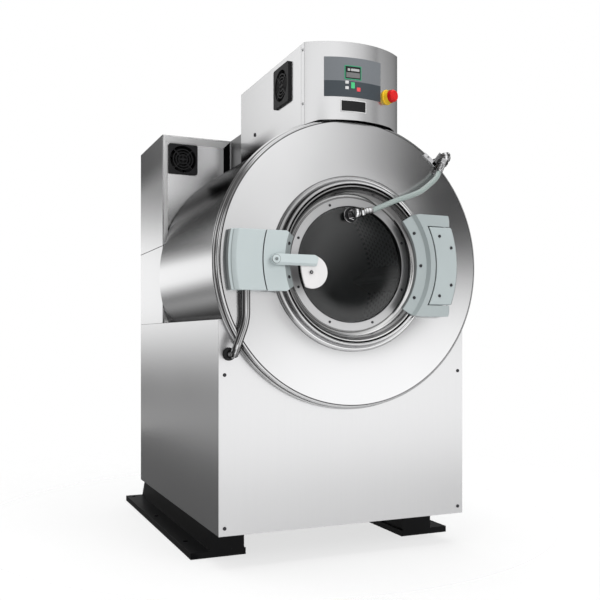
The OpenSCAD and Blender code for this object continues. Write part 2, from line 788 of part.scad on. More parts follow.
// Screws of the door: round the retaining ring, in the arm's crescent and in the latch ear
module door_screws() {
  mid = (ring_r + ring_bore_r) / 2;
  color("#9a9aa0") placed() {
    for (i = [0 : ring_screws - 1]) {
      a = 360 * (i + 0.5) / ring_screws;
      screw_head(mid * cos(a), axis_z + mid * sin(a), ring_face, door_screw_r);
    }
    for (a = [-27, 0, 27])
      rotate_about_axis(a) translate([arm_screw_r, crescent_face(arm_screw_r) - seat, axis_z])
        rotate([0, 0, -arm_tilt]) screw_head(0, 0, 0, door_screw_r + 1);
    for (a = [-12, 12])
      rotate_about_axis(a) translate([-ear_end_r - 12, ear_face(ear_end_r + 12) - seat, axis_z])
        rotate([0, 0, ear_tilt]) screw_head(0, 0, 0, door_screw_r + 1);
  }
}

// Outline of the hinge knuckles seen from above, so that they clear the front plate as they turn
module knuckle_plan() {
  nose = knuckle_r * 0.7;
  translate([0, -casting_proud]) square([pin_x, casting_proud + knuckle_back]);
  translate([pin_x, -pin_proud]) circle(knuckle_r);
  translate([pin_x + knuckle_r - nose, nose - casting_proud]) circle(nose);
  translate([pin_x - 1, -casting_proud])
    square([knuckle_r - nose + 1, casting_proud - pin_proud]);
  translate([pin_x - 1, nose - casting_proud])
    square([knuckle_r + 1, casting_proud - nose - pin_proud]);
}

// Hinge arm: a C-shaped casting on the door, with a low crescent, a ridge and two knuckles
module hinge_arm() {
  pocket_h = block_half_h + washer_gap;
  spine_r = trim_r + 1.5 - spine_gap;
  color("#c3ced0") placed() difference() {
    intersection() {
      turned() polygon([[arm_crescent_r, -door_proud - 0.5 - seat],
        [arm_crescent_r, crescent_face(arm_crescent_r)], [arm_ridge_r, crescent_face(arm_ridge_r)],
        [arm_ridge_r + 8, -casting_proud], [hinge_r, -casting_proud], [hinge_r, knuckle_back],
        [trim_r + 3, knuckle_back], [trim_r + 3, casting_clear], [door_r + 1, casting_clear],
        [door_r + 1, -door_proud - 1 - seat]]);
      seen_from_front(-casting_proud, 0) polygon([[168, arm_half_h - 27], [205, arm_half_h - 4],
        [225, arm_half_h], [hinge_r, arm_half_h], [hinge_r, -arm_half_h], [225, -arm_half_h],
        [205, 4 - arm_half_h], [168, 27 - arm_half_h]]);
      translate([0, 0, axis_z - arm_half_h]) linear_extrude(2 * arm_half_h) knuckle_plan();
    }
    difference() {
      box([150, -casting_proud - over, axis_z - pocket_h], [hinge_r + over, 0, axis_z + pocket_h]);
      axis_bar(spine_r, -casting_proud - 2 * over, over);
    }
    translate([pin_x, -pin_proud, axis_z - arm_half_h - over])
      cylinder(r = pin_r + running, h = 2 * arm_half_h + 2 * over);
  }
}

// Hinge block: the fixed casting inside the arm's C, seated on the front plate
module hinge_block() {
  inner = trim_r + 1.5;
  color("#c3ced0") placed() difference() {
    intersection() {
      turned() polygon([[inner, plate_face(inner) - seat], [inner, -casting_proud],
        [hinge_r - 6, -casting_proud], [hinge_r, 6 - casting_proud],
        [hinge_r, plate_face(hinge_r) - seat]]);
      box([150, -casting_proud, axis_z - block_half_h], [hinge_r, 0, axis_z + block_half_h]);
    }
    translate([pin_x, -pin_proud, axis_z - block_half_h - over])
      cylinder(r = pin_r + running, h = 2 * block_half_h + 2 * over);
  }
}

// Hinge pin with a washer in each gap between block and knuckle
module hinge_pin() {
  color("#8f9294") placed() translate([pin_x, -pin_proud, axis_z]) {
    cylinder(r = pin_r, h = 2 * arm_half_h - 4, center = true);
    for (s = [-1, 1]) translate([0, 0, s * (block_half_h + washer_gap / 2)])
      difference() {
        cylinder(r = pin_r + 6, h = washer_gap - 0.2, center = true);
        cylinder(r = pin_r + running, h = washer_gap + 1, center = true);
      }
  }
}

// Lock housing on the left of the front plate, with a stepped and bevelled outer side
module lock_housing() {
  inner = latch_seam_r + latch_seam / 2;
  color("#c3ced0") placed() difference() {
    intersection() {
      turned() polygon([[inner, plate_face(inner) - seat], [inner, -casting_proud],
        [lock_r - 22, -casting_proud], [lock_r - 10, 9 - casting_proud],
        [lock_r - 8, 13 - casting_proud], [lock_r, 15 - casting_proud],
        [lock_r, plate_face(lock_r) - seat]]);
      box([-lock_r, -casting_proud, axis_z - lock_low], [-inner / 2, 0, axis_z + lock_high]);
    }
    bar([-conduit_x, -conduit_y, axis_z - lock_low - over],
      [-conduit_x, -conduit_y, axis_z - lock_low + 12], conduit_r + running);
  }
}

// Latch ear: the door's casting over the opening's left side, bored for the handle's shaft
module latch_ear() {
  color("#c3ced0") placed() difference() {
    intersection() {
      turned() polygon([[ear_end_r, -door_proud - 1 - seat], [ear_end_r, ear_face(ear_end_r)],
        [ear_end_r + ear_slope_w, -casting_proud], [ear_r, -casting_proud], [ear_r, ear_back],
        [trim_r + 3, ear_back], [trim_r + 3, casting_clear], [door_r + 1, casting_clear],
        [door_r + 1, -door_proud - 1 - seat]]);
      seen_from_front(-casting_proud, 0) polygon([[-ear_r, lock_high], [-ear_end_r - 18, lock_high],
        [-ear_end_r + 30, lock_high - 26], [-ear_end_r + 30, 26 - lock_low],
        [-ear_end_r - 18, -lock_low], [-ear_r, -lock_low]]);
    }
    bar_y(-hub_x, axis_z, handle_shaft_r + running, -casting_proud - over, over);
  }
}

// Lever with its hub, the shaft through the ear and the retaining collar behind it
module handle_lever() {
  tip = lever_len - hub_x;
  low = 14 - lever_h;
  color("#cdd6d7") placed() {
    bar_y(-hub_x, axis_z, hub_r, lever_face, -casting_proud - seat);
    bar_y(-hub_x, axis_z, handle_shaft_r, -casting_proud - 1, ear_back + 3);
    bar_y(-hub_x, axis_z, handle_shaft_r + 1.5, ear_back + seat, ear_back + 3);
    seen_from_front(lever_face, lever_face + lever_t) polygon([[-hub_x, -low - 1],
      [tip - 12, -low - 1], [tip - 2, -low - 6], [tip, -low - 12], [tip - 4, low + 8],
      [-hub_x, low + 8]]);
    translate([-hub_x, 0, axis_z]) rotate([90, 0, 90]) linear_extrude(lever_len - 4)
      polygon([[lever_face, low + 8], [lever_face + lever_t, low + 8],
        [lever_face + lever_t, low + 2], [lever_face + lever_t * 0.6, low]]);
  }
}

// Paddle behind the lever's tip, cut round where the ear is, with its bolt
module handle_paddle() {
  back = -casting_proud - lever_gap + paddle_t;
  color("#f1efef") placed() {
    intersection() {
      bar_y(-paddle_x, axis_z - paddle_drop, paddle_r, back - paddle_t, back);
      axis_bar(paddle_cut_r, back - 2 * paddle_t, back + 1);
    }
    bar_y(-paddle_x, axis_z - paddle_drop, 7, back - paddle_t - 4, back - paddle_t);
  }
}

// Conduit from the lock housing's underside round the rim into the front panel
module lock_conduit() {
  entry = [-conduit_entry_x, sheet, conduit_entry_z];
  color("#c6c9ca") placed() tube_run([[-conduit_x, -conduit_y, axis_z - lock_low + 11],
    [-conduit_x, -conduit_y, axis_z - lock_low - conduit_drop], [-conduit_entry_x, -conduit_y, conduit_entry_z + 18],
    [-conduit_entry_x, -conduit_y + 18, conduit_entry_z], entry], conduit_r);
}

// Rubber boot round the conduit at the front panel
module conduit_boot() {
  color("#161617") placed() translate([-conduit_entry_x, 0, conduit_entry_z]) rotate([90, 0, 0])
    difference() {
      union() {
        cylinder(r = boot_r, h = 10);
        translate([0, 0, 10]) cylinder(r1 = boot_r, r2 = conduit_r + 3, h = 14);
      }
      translate([0, 0, -over]) cylinder(r = conduit_r + running, h = 40);
    }
}

// Chrome water pipe from the rear housing to the hose ferrule, and the clamp on the rim
module water_pipe() {
  ferrule_end = hose_route[0];
  lean = unit(ferrule_end - pipe_elbow);
  color("#d3d6d8") placed() difference() {
    union() {
      bar_y(pipe_x, pipe_z, pipe_r, pipe_elbow[1], housing_front + pan_depth + 60);
      translate(pipe_elbow) sphere(r = pipe_r + 8);
      bar_y(pipe_x, pipe_z, pipe_r + 6, -44, -20);
      bar(pipe_elbow, ferrule_end - lean * ferrule_len, pipe_r + 2);
      bar(ferrule_end - lean * (ferrule_len + 12), ferrule_end - lean * ferrule_len, pipe_r + 5);
      bar(ferrule_end - lean * ferrule_len, ferrule_end, ferrule_r);
      rim_strap(rim_face_r + 4, 1, 8);
      rim_strap(norm([pipe_x, pipe_z - axis_z]), -2, 3);
    }
    bar(ferrule_end - lean * seat, ferrule_end + lean * 20, ferrule_r + 3);
  }
}

// A flat strap on the front plate's edge, out to radius r, from a0 to a1 degrees past the pipe
module rim_strap(r, a0, a1) {
  pipe_a = atan2(pipe_z - axis_z, pipe_x);
  seen_from_front(-plate_outer_proud - 5, -plate_outer_proud - 1) intersection() {
    difference() {
      circle(r);
      circle(rim_face_r - 10);
    }
    polygon([[0, 0], 2 * r * [cos(pipe_a + a0), sin(pipe_a + a0)],
      2 * r * [cos(pipe_a + a1), sin(pipe_a + a1)]]);
  }
}

// Points of a ring of the hose's skin at point i of its route
function hose_dir(i) = i == 0 ? unit(hose_route[0] - pipe_elbow)
  : i == len(hose_route) - 1 ? unit(nozzle_elbow - hose_route[i])
  : unit(hose_route[i + 1] - hose_route[i - 1]);
function hose_side(i) = unit(cross(hose_dir(i), [0, 1, 0]));
function hose_ring(i, n) = [for (k = [0 : n - 1]) hose_route[i]
  + hose_r * (cos(360 * k / n) * hose_side(i) + sin(360 * k / n) * cross(hose_side(i), hose_dir(i)))];

// Spray hose: a tube swept along its route
module spray_hose() {
  n = 12;
  m = len(hose_route);
  points = [for (i = [0 : m - 1]) each hose_ring(i, n)];
  faces = concat([[for (k = [0 : n - 1]) k]], [[for (k = [n - 1 : -1 : 0]) (m - 1) * n + k]],
    [for (i = [0 : m - 2], k = [0 : n - 1]) [i * n + (k + 1) % n, i * n + k, (i + 1) * n + k,
      (i + 1) * n + (k + 1) % n]]);
  color("#b9cdc8") placed() polyhedron(points, faces);
}

// Spray nozzle through the glass: flange, nut, elbow, ferrule and the spray head inside
module spray_nozzle() {
  hose_end = hose_route[len(hose_route) - 1];
  elbow = nozzle_elbow;
  lean = unit(hose_end - elbow);
  color("#cfd2d4") placed() {
    bar_y(0, nozzle_z, nozzle_flange_r, -glass_proud - 4, -glass_proud);
    bar_y(0, nozzle_z, 19, -glass_proud - 14, -glass_proud - 4);
    bar_y(0, nozzle_z, ferrule_r, elbow[1], glass_t - glass_proud + 4);
    bar_y(0, nozzle_z, 18, glass_t - glass_proud, glass_t - glass_proud + 7);
    translate(elbow) rotate([0, 0, 225]) sphere(r = ferrule_r + 5);
    difference() {
      bar(elbow, hose_end, ferrule_r);
      bar(hose_end - lean * seat, hose_end + lean * 20, ferrule_r + 3);
    }
    bar(elbow + lean * 14, elbow + lean * 24, ferrule_r + 4);
  }
}

// Control box: top, sides and back over the shell, open to the control front
module control_box() {
  foot = axis_z + rise(shell_r, control_w / 2) - 1;
  color("#bdbdc0") placed() difference() {
    box([-control_w / 2, seat, foot], [control_w / 2, centre_front - seat, control_top]);
    box([sheet - control_w / 2, -over, axis_z],
      [control_w / 2 - sheet, centre_front - seat - sheet, control_top - sheet]);
    axis_bar(shell_r + seat, -over, cabinet_d);
    translate([-control_w / 2 - over, control_fan_y, control_fan_z]) rotate([0, 90, 0])
      cylinder(r = fan_window_r, h = 2 * over);
  }
}

// The control front's body from z0 to z1, or its inside when t is the sheet
module control_body(t, z0, z1, back) {
  intersection() {
    translate([0, bulge_y, z0]) cylinder(r = bulge_r - t, h = z1 - z0, $fn = 192);
    box([t - control_w / 2, -bulge_r, z0], [control_w / 2 - t, back, z1]);
  }
}

// Bulged control front, cut round over the rim
module control_front() {
  foot = axis_z + rise(rim_r, control_w / 2) - 1;
  color("#c8c8ca") placed() difference() {
    control_body(0, foot, control_top, 0);
    control_body(sheet, foot - over, control_top - sheet, over);
    axis_bar(rim_r + rim_gap, -bulge_r, over);
  }
}

// A sheet on the bulge, between radii r0 and r1, as wide as w about x and as high as h from z
module bulge_sheet(x, z, w, h, r0, r1) {
  intersection() {
    translate([0, bulge_y, z]) difference() {
      cylinder(r = r1, h = h, $fn = 192);
      translate([0, 0, -over]) cylinder(r = r0, h = h + 2 * over, $fn = 192);
    }
    box([x - w / 2, -bulge_r, z], [x + w / 2, 0, z + h]);
  }
}

// Where the keys are: middle x, lower z, width and height
key_places = [[-47, keypad_z + 42, 12, 10], [-47, keypad_z + 24, 12, 10],
  [-27, keypad_z + 28, 13, 20], [-7, keypad_z + 20, 13, 13]];

// A key's body, from depth d0 to depth d1 over the bulge, grown by g on its sides
module key_shape(i, d0, d1, g) {
  p = key_places[i];
  translate([0, bulge_y, p[1] + p[3] / 2]) rotate([0, 0, asin(p[0] / bulge_r)])
    translate([0, -bulge_r - d0, 0]) rotate([90, 0, 0]) linear_extrude(d1 - d0)
      round_rect(p[2] + 2 * g, p[3] + 2 * g, 2 + g);
}
module key(i) { placed() key_shape(i, keypad_t - key_travel, keypad_t + key_proud, 0); }
module key_up() { color("#f4f4f4") key(0); }
module key_down() { color("#f4f4f4") key(1); }
module key_start() { color("#4fb46c") key(2); }
module key_stop() { color("#e0484f") key(3); }

// Keypad panel on the bulge, with wells for the keys
module keypad_panel() {
  color("#61666b") placed() difference() {
    bulge_sheet(keypad_x, keypad_z, keypad_w, keypad_h, bulge_r + film, bulge_r + keypad_t);
    for (i = [0 : len(key_places) - 1]) key_shape(i, keypad_t - 2 * key_travel, keypad_t + over, seat);
  }
}

// Display window on the keypad panel
module display_window() {
  color("#0c1411") placed() bulge_sheet(display_x, display_z, display_w, display_h,
    bulge_r + keypad_t + film, bulge_r + keypad_t + 1);
}

// Bare name plate under the keypad panel
module name_plate() {
  color("#111112") placed() bulge_sheet(plate_x, plate_z, plate_w, plate_h,
    bulge_r + film, bulge_r + 1.5);
}

// Turns children drawn along +Z from the bulge's face into the emergency stop's place
module at_stop() {
  placed() translate([0, bulge_y, stop_z]) rotate([0, 0, asin(stop_x / bulge_r)])
    translate([0, -bulge_r, 0]) rotate([90, 0, 0]) children();
}

// Bezel and yellow collar of the emergency stop, seated on the bulge and bored for the plunger
module stop_base() {
  color("#e0b020") at_stop() difference() {
    union() {
      translate([0, 0, -0.6]) cylinder(r = stop_base_r, h = 4.6);
      cylinder(r = stop_collar_r, h = 4 + stop_collar_h);
    }
    translate([0, 0, stop_collar_h - stop_travel - 2])
      cylinder(r = stop_head_r + 0.8, h = stop_collar_h);
    translate([0, 0, -over]) cylinder(r = stop_stem_r + running, h = 2 * stop_collar_h);
    placed_bulge();
  }
}

// The bulge's body, in the frame of the emergency stop, to cut its bezel to the curve
module placed_bulge() {
  translate([0, 0, -bulge_r]) rotate([90, 0, 0])
    cylinder(r = bulge_r, h = 3 * stop_base_r, center = true, $fn = 192);
}

// Plunger that slides in the collar
module stop_plunger() {
  color("#55585a") at_stop() translate([0, 0, stop_travel + 1])
    cylinder(r = stop_stem_r, h = stop_collar_h + stop_head_h / 2 - stop_travel);
}

// Mushroom head that twists on the plunger
module stop_head() {
  foot = stop_collar_h + 1;
  color("#d01818") at_stop() difference() {
    union() {
      translate([0, 0, foot]) cylinder(r = stop_head_r, h = stop_head_h - 5);
      translate([0, 0, foot + stop_head_h - 5])
        cylinder(r1 = stop_head_r, r2 = stop_head_r - 5, h = 5);
    }
    cylinder(r = stop_stem_r + running, h = stop_collar_h + stop_head_h / 2 + 1 + seat);
  }
}

// Turns children drawn along +Z into a fan's place: 0 on the rear housing, 1 on the control box
module at_fan(i) {
  placed() if (i == 0) translate([-box_fan_x, housing_front + pan_depth, box_fan_z])
    rotate([90, 0, 0]) children();
  else translate([-control_w / 2, control_fan_y, control_fan_z]) rotate([0, -90, 0]) children();
}

// Fan guards: a square plate with an open ring grille
module fan_guards() {
  color("#1c1c1e") for (i = [0, 1]) at_fan(i) {
    side = i == 0 ? box_guard_side : control_guard_side;
    difference() {
      linear_extrude(guard_t) round_rect(side, side, 8);
      translate([0, 0, -over]) cylinder(r = fan_r, h = guard_t + 2 * over);
    }
    translate([0, 0, 2]) linear_extrude(guard_t - 4) {
      for (r = [fan_hub_r : 11 : fan_r - guard_bar]) difference() {
        circle(r);
        circle(r - guard_bar);
      }
      for (a = [45 : 90 : 315]) rotate(a) translate([fan_hub_r - guard_bar, -guard_bar / 2])
        square([fan_r - fan_hub_r + guard_bar + 1, guard_bar]);
      circle(7);
      for (a = [0, 90]) rotate(a) square([2 * fan_hub_r - guard_bar, guard_bar], center = true);
    }
  }
}

// Fan frames behind the sheet: a square duct with a motor carrier on four struts
module fan_frames() {
  color("#232326") for (i = [0, 1]) at_fan(i) translate([0, 0, -sheet - fan_d]) {
    difference() {
      linear_extrude(fan_d) round_rect(fan_side, fan_side, 6);
      translate([0, 0, -over]) cylinder(r = fan_r + 1.5, h = fan_d + 2 * over);
    }
    cylinder(r = fan_hub_r, h = 5);
    for (a = [0 : 90 : 270]) rotate(a) translate([0, -3, 0]) cube([fan_r + 2, 6, 5]);
    cylinder(r = 3, h = fan_d / 2);
  }
}

// Fan rotor: a hub cup with leaning blades, on the carrier's pin
module rotor() {
  color("#2c2c30") translate([0, 0, 6 - sheet - fan_d]) difference() {
    union() {
      cylinder(r = fan_hub_r, h = fan_d - 12);
      for (i = [0 : fan_blades - 1]) rotate(360 * i / fan_blades)
        translate([fan_hub_r - 2, 0, (fan_d - 12) / 2]) rotate([38, 0, 0])
          translate([0, -14, -1]) cube([fan_r - fan_hub_r - 1, 28, 2]);
    }
    translate([0, 0, -over]) cylinder(r = 3 + running, h = fan_d / 2 - 6 + over + seat);
  }
}
module box_fan_rotor() { at_fan(0) rotor(); }
module control_fan_rotor() { at_fan(1) rotor(); }

// Basket: cylinder, front ring with a rolled mouth, back plate, hub and lifters
module basket() {
  color("#9fa2a5") placed() {
    turned() {
      polygon([[basket_r - basket_t, basket_front], [basket_r, basket_front],
        [basket_r, basket_back], [0, basket_back], [0, basket_back - 8],
        [basket_r - basket_t, basket_back - 8]]);
      translate([basket_mouth_r + lip_r, basket_front])
        square([basket_r - basket_mouth_r - lip_r - 1, basket_t]);
      translate([basket_mouth_r + lip_r, basket_front + lip_r - 1]) circle(lip_r);
    }
    for (i = [0 : lifters - 1]) seen_from_front(basket_front + basket_t - 1, basket_back - 7)
      rotate(360 * i / lifters + 90) translate([0, -lifter_seat_r]) lifter_plan();
  }
}

// A lifter's section: wide at the wall, with a round crest
module lifter_plan() {
  crest = 18;
  polygon([[-lifter_w / 2, 0], [lifter_w / 2, 0], [crest - 2, lifter_h - crest],
    [2 - crest, lifter_h - crest]]);
  translate([0, lifter_h - crest]) circle(crest);
}

// Drum shaft from the basket's back through the bearings to the pulley
module drum_shaft() {
  color("#8d9093") placed() {
    axis_bar(bearing_hub_r - 10, basket_back, basket_back + 16);
    axis_bar(shaft_r, basket_back, shaft_end);
  }
}

// Three belt grooves round a pulley of radius r, as a turned outline
module pulley_outline(r, bore) {
  y0 = belt_y - pulley_w / 2;
  difference() {
    translate([bore, y0]) square([r - bore, pulley_w]);
    for (i = [-1 : 1]) translate([r, belt_y + i * belt_pitch])
      polygon([[1, -belt_w / 2 - 1], [1, belt_w / 2 + 1], [-belt_t - 1, belt_w / 2 - 3],
        [-belt_t - 1, 3 - belt_w / 2]]);
  }
}

// Drum pulley with three grooves and round windows in its web
module drum_pulley() {
  y0 = belt_y - pulley_w / 2;
  mid = (drum_pulley_r + shaft_r) / 2;
  color("#5c5f62") placed() difference() {
    turned() pulley_outline(drum_pulley_r, shaft_r);
    axis_bar(drum_pulley_r - 30, y0 - 1, y0 + pulley_w / 2 - 8);
    difference() {
      axis_bar(drum_pulley_r - 30, y0 + pulley_w / 2 + 8, y0 + pulley_w + 1);
      axis_bar(shaft_r + 25, y0, y0 + pulley_w + 2);
    }
    for (i = [0 : 4]) rotate_about_axis(72 * i) bar_y(mid, axis_z, 34, y0 - 1, y0 + pulley_w + 1);
  }
}
module rotate_about_axis(a) {
  translate([0, 0, axis_z]) rotate([0, a, 0]) translate([0, 0, -axis_z]) children();
}

// Bearing housing bolted to the shell's back, with six ribs and a bore for the shaft
module bearing_housing() {
  y0 = housing_front - 2;
  y1 = bearing_end;
  color("#6c7074") placed() difference() {
    union() {
      axis_bar(bearing_flange_r, y0, y0 + bearing_flange_t);
      axis_bar(bearing_hub_r, y0, y1);
      for (i = [0 : 5]) rotate_about_axis(60 * i)
        translate([0, 0, axis_z]) rotate([90, 0, 90]) linear_extrude(12, center = true)
          polygon([[y0 + 1, 0], [y1 - 20, 0], [y1 - 20, bearing_hub_r + 5],
            [y0 + bearing_flange_t, bearing_flange_r - 6], [y0 + 1, bearing_flange_r - 6]]);
    }
    axis_bar(shaft_r + running, y0 - over, y1 + over);
  }
}

// Motor on its deck: body with cooling ribs, end bells, feet, terminal box and shaft bore
module motor() {
  y1 = motor_end;
  y0 = y1 - motor_len;
  color("#3f5a66") placed() difference() {
    union() {
      bar_y(0, motor_z, motor_r - 10, y0, y1);
      bar_y(0, motor_z, motor_r - 30, y1 - 1, y1 + 8);
      for (i = [1 : 23]) translate([0, y0 + 30, motor_z]) rotate([0, 90 + 15 * i, 0])
        translate([-2, 0, motor_r - 20]) cube([4, motor_len - 60, 20]);
      for (s = [-1, 1]) box([s * 90 - 25, y0 + 40, deck_top], [s * 90 + 25, y1 - 40, motor_z - 60]);
      box([motor_r - 30, y0 + 60, motor_z - 45], [motor_r + 40, y1 - 60, motor_z + 45]);
    }
    bar_y(0, motor_z, motor_shaft_r + running, y0 + 40, y1 + 20);
  }
}

// Motor pulley with the motor's shaft
module motor_pulley() {
  color("#5c5f62") placed() {
    translate([0, 0, motor_z - axis_z]) turned() pulley_outline(motor_pulley_r, 0);
    bar_y(0, motor_z, motor_shaft_r, motor_end - motor_len + 45, belt_y);
  }
}

// The loop of a belt at distance d outside the pulleys' groove floors, seen from the front
module belt_loop(d) {
  hull() {
    circle(drum_pulley_r - belt_t + d, $fn = 96);
    translate([0, -belt_drop]) circle(motor_pulley_r - belt_t + d, $fn = 48);
  }
}

// Three belts round both pulleys
module drive_belts() {
  color("#191919") placed() for (i = [-1 : 1])
    seen_from_front(belt_y + i * belt_pitch - belt_half_w, belt_y + i * belt_pitch + belt_half_w)
      difference() {
        belt_loop(belt_t);
        belt_loop(0);
      }
}

// Two inlet valves inside the hood, with threaded spigots through its back
module inlet_valves() {
  color("#3b6ea5") placed() for (s = [-1, 1]) {
    x = s * inlet_pitch / 2 - inlet_x;
    bar_y(x, inlet_z, inlet_r, cabinet_d - sheet, cabinet_d + inlet_len);
    bar_y(x, inlet_z, inlet_r + 6, cabinet_d - sheet - 12, cabinet_d - sheet);
    box([x - 20, cabinet_d - 70, inlet_z - 20], [x + 20, cabinet_d - sheet - 10, inlet_z + 20]);
    translate([x, cabinet_d - 40, inlet_z + 20]) cylinder(r = 15, h = 34);
  }
}

// Drain valve under the shell's spigot and the drain pipe out through the back
module drain_valve() {
  body_z = drain_top - drain_stub - valve_h;
  color("#2b2b2d") placed() difference() {
    union() {
      translate([0, drain_y, drain_z]) cylinder(r = drain_r, h = drain_top - drain_z - seat);
      translate([0, drain_y, body_z]) cylinder(r = drain_r + 16, h = valve_h);
      translate([0, drain_y, drain_z]) sphere(r = drain_r * 1.04);
      bar_y(0, drain_z, drain_r - 2, drain_y, cabinet_d);
      bar_y(0, drain_z, drain_r, cabinet_d - sheet, cabinet_d + drain_out);
      box([drain_r, drain_y - 30, body_z + 10], [drain_r + 90, drain_y + 30, body_z + valve_h - 10]);
    }
    translate([0, drain_y, drain_z])
      cylinder(r = drain_r - drain_wall, h = drain_top - drain_z);
    bar_y(0, drain_z, drain_r - drain_wall, drain_y, cabinet_d + drain_out + over);
  }
}

// Screws of the fixed casings: front panel, control front, hinge block and service cover
module panel_screws() {
  color("#b0b2b4") placed() {
    for (s = [-1, 1], z = [cabinet_bottom + 25, cabinet_top - 176])
      screw_head(s * (half_w - 20), z, 0, 6);
    for (p = block_screws, s = [-1, 1])
      screw_head(p[0], axis_z + s * p[1], -casting_proud, 5.5);
    for (s = [-1, 1], z = [control_top - 22, control_top - 198])
      translate([s * control_w / 2, -control_strip / 2, z]) rotate([0, s * 90, 0])
        cylinder(r1 = 5, r2 = 3.5, h = 3);
    for (s = [-1, 1], z = [cabinet_top + 40, housing_seam - 40])
      translate([s * (window_w + cover_lap) / 2, cabinet_d + cover_t, z])
        rotate([-90, 0, 0]) cylinder(r1 = 5, r2 = 3.5, h = 3);
  }
}

rail_left();
rail_right();
base_frame();
front_panel();
side_panel_left();
side_panel_right();
back_panel();
rear_wrap();
rear_hood();
service_cover();
box_front_left();
box_front_right();
centre_housing();
shell();
rim_ring();
front_plate();
door_trim_ring();
door_seal();
door_frame();
door_glass();
retaining_ring();
door_screws();
hinge_arm();
hinge_block();
hinge_pin();
lock_housing();
latch_ear();
handle_lever();
handle_paddle();
lock_conduit();
conduit_boot();
water_pipe();
spray_hose();
spray_nozzle();
control_box();
control_front();
keypad_panel();
display_window();
name_plate();
key_up();
key_down();
key_start();
key_stop();
stop_base();
stop_plunger();
stop_head();
fan_guards();
fan_frames();
box_fan_rotor();
control_fan_rotor();
basket();
drum_shaft();
drum_pulley();
bearing_housing();
motor();
motor_pulley();
drive_belts();
inlet_valves();
drain_valve();
panel_screws();
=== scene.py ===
"""Dresses the washer-extractor: polished and brushed sheet, painted castings, glass, hose and controls."""

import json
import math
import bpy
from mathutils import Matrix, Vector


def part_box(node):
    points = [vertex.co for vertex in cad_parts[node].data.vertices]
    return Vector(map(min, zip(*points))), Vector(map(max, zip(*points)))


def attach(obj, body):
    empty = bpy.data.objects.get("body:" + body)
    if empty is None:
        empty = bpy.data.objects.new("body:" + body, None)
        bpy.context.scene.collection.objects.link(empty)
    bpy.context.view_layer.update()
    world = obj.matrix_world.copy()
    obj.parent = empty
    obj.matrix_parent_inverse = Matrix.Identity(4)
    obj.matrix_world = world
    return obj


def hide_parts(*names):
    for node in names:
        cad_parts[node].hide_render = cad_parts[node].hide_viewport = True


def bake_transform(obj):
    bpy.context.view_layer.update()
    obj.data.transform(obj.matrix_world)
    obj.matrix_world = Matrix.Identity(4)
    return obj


bl_info = {
    "name": "Washer-extractor",
    "version": (1, 0, 0),
    "blender": (4, 5, 0),
    "location": "View3D > Sidebar > Washer",
    "description": "Builds the visible surfaces of a floor-anchored washer-extractor",
    "category": "Object",
}

from functools import partialmethod

import bmesh
import bpy
from bpy.props import FloatProperty, FloatVectorProperty, IntProperty, PointerProperty
from mathutils import Vector

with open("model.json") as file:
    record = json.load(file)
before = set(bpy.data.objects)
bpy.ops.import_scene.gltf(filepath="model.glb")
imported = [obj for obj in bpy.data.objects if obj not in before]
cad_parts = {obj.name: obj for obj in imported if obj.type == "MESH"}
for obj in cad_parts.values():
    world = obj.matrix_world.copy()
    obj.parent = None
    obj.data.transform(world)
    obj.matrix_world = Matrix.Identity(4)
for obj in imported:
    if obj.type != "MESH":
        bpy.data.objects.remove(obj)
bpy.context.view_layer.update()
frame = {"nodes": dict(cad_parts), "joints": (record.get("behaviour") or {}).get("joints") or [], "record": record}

NODES = frame["nodes"]
JOINTS = {joint["name"]: joint for joint in frame["joints"]}
SLOT_OF = {part["node"]: part["material_slot"] for part in frame["record"]["subparts"]}
BODY_OF = {node: body for body, nodes in frame["record"]["behaviour"]["bodies"].items() for node in nodes}
AXIS = Vector(JOINTS["drum_spin"]["pos_m"])
PANEL_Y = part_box("front_panel")[0].y
FORWARD = Vector((0, -1, 0))


def width_of(node):
    """The node's size along X, which is twice the radius of a turned piece."""
    low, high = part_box(node)
    return high.x - low.x


def proud_of(node):
    """How far the node's foremost point stands before the front panel."""
    return PANEL_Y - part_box(node)[0].y


# Places and sizes in metres

SEAT_GAP = 0.0003  # between turned pieces and what they sit in
FOLD = 0.0009  # radius of a sheet's folded edges
LIP_SINK = 0.0040  # how far the control front's lip comes down over the rim
LIP_SLOPE = 0.5  # and more for each metre that it stands before the rim
PIPE_ANGLE = 47.6  # the water pipe's place round the rim, in degrees above the right-hand side
PIPE_GAP = 0.0282  # between rim and pipe's middle
PIPE_PROUD = 0.057  # the elbow's middle before the front panel
NOZZLE_RISE = 0.166  # how far over the drum's axis the nozzle goes through the glass
HOSE_RADIUS = 0.009
SIDE_SCREW = (0.439, 0.196)  # from the control box's front and top to the screw in its left side
STOP_COLLAR = 0.014  # height of the emergency stop's collar over its seat
STOP_HEAD = 0.022
SKIN = 0.0003  # thickness of a skin over a sheet's lips
FERRULE_RADIUS = 0.012
CAMERA_PLACE = (-1.230, -3.214, 0.737)
CAMERA_TURN = -23.34  # degrees about the vertical
CAMERA_LENS = 48.54  # millimetres, on a sensor of 36 mm
CAMERA_SHIFT = 0.0633
FLOOR_RADIUS = 9.0
BOARD_HEIGHT = 0.004  # of the boards that lie on the floor
# The hose's middle line, as in the CAD source
HOSE_ROUTE = [
    (0.310, -0.848, 1.306), (0.304, -0.852, 1.296), (0.296, -0.856, 1.286), (0.284, -0.860, 1.275),
    (0.270, -0.864, 1.264), (0.254, -0.867, 1.252), (0.238, -0.869, 1.240), (0.220, -0.870, 1.229),
    (0.200, -0.870, 1.220), (0.180, -0.869, 1.212), (0.160, -0.867, 1.205), (0.140, -0.864, 1.198),
    (0.120, -0.861, 1.190), (0.100, -0.857, 1.181), (0.082, -0.853, 1.173), (0.066, -0.849, 1.166),
    (0.054, -0.846, 1.161),
]


# Sizes and colours that a user would change


def a_length(name, description, default, low, high):
    return FloatProperty(name=name, description=description, default=default, min=low, max=high, unit="LENGTH")


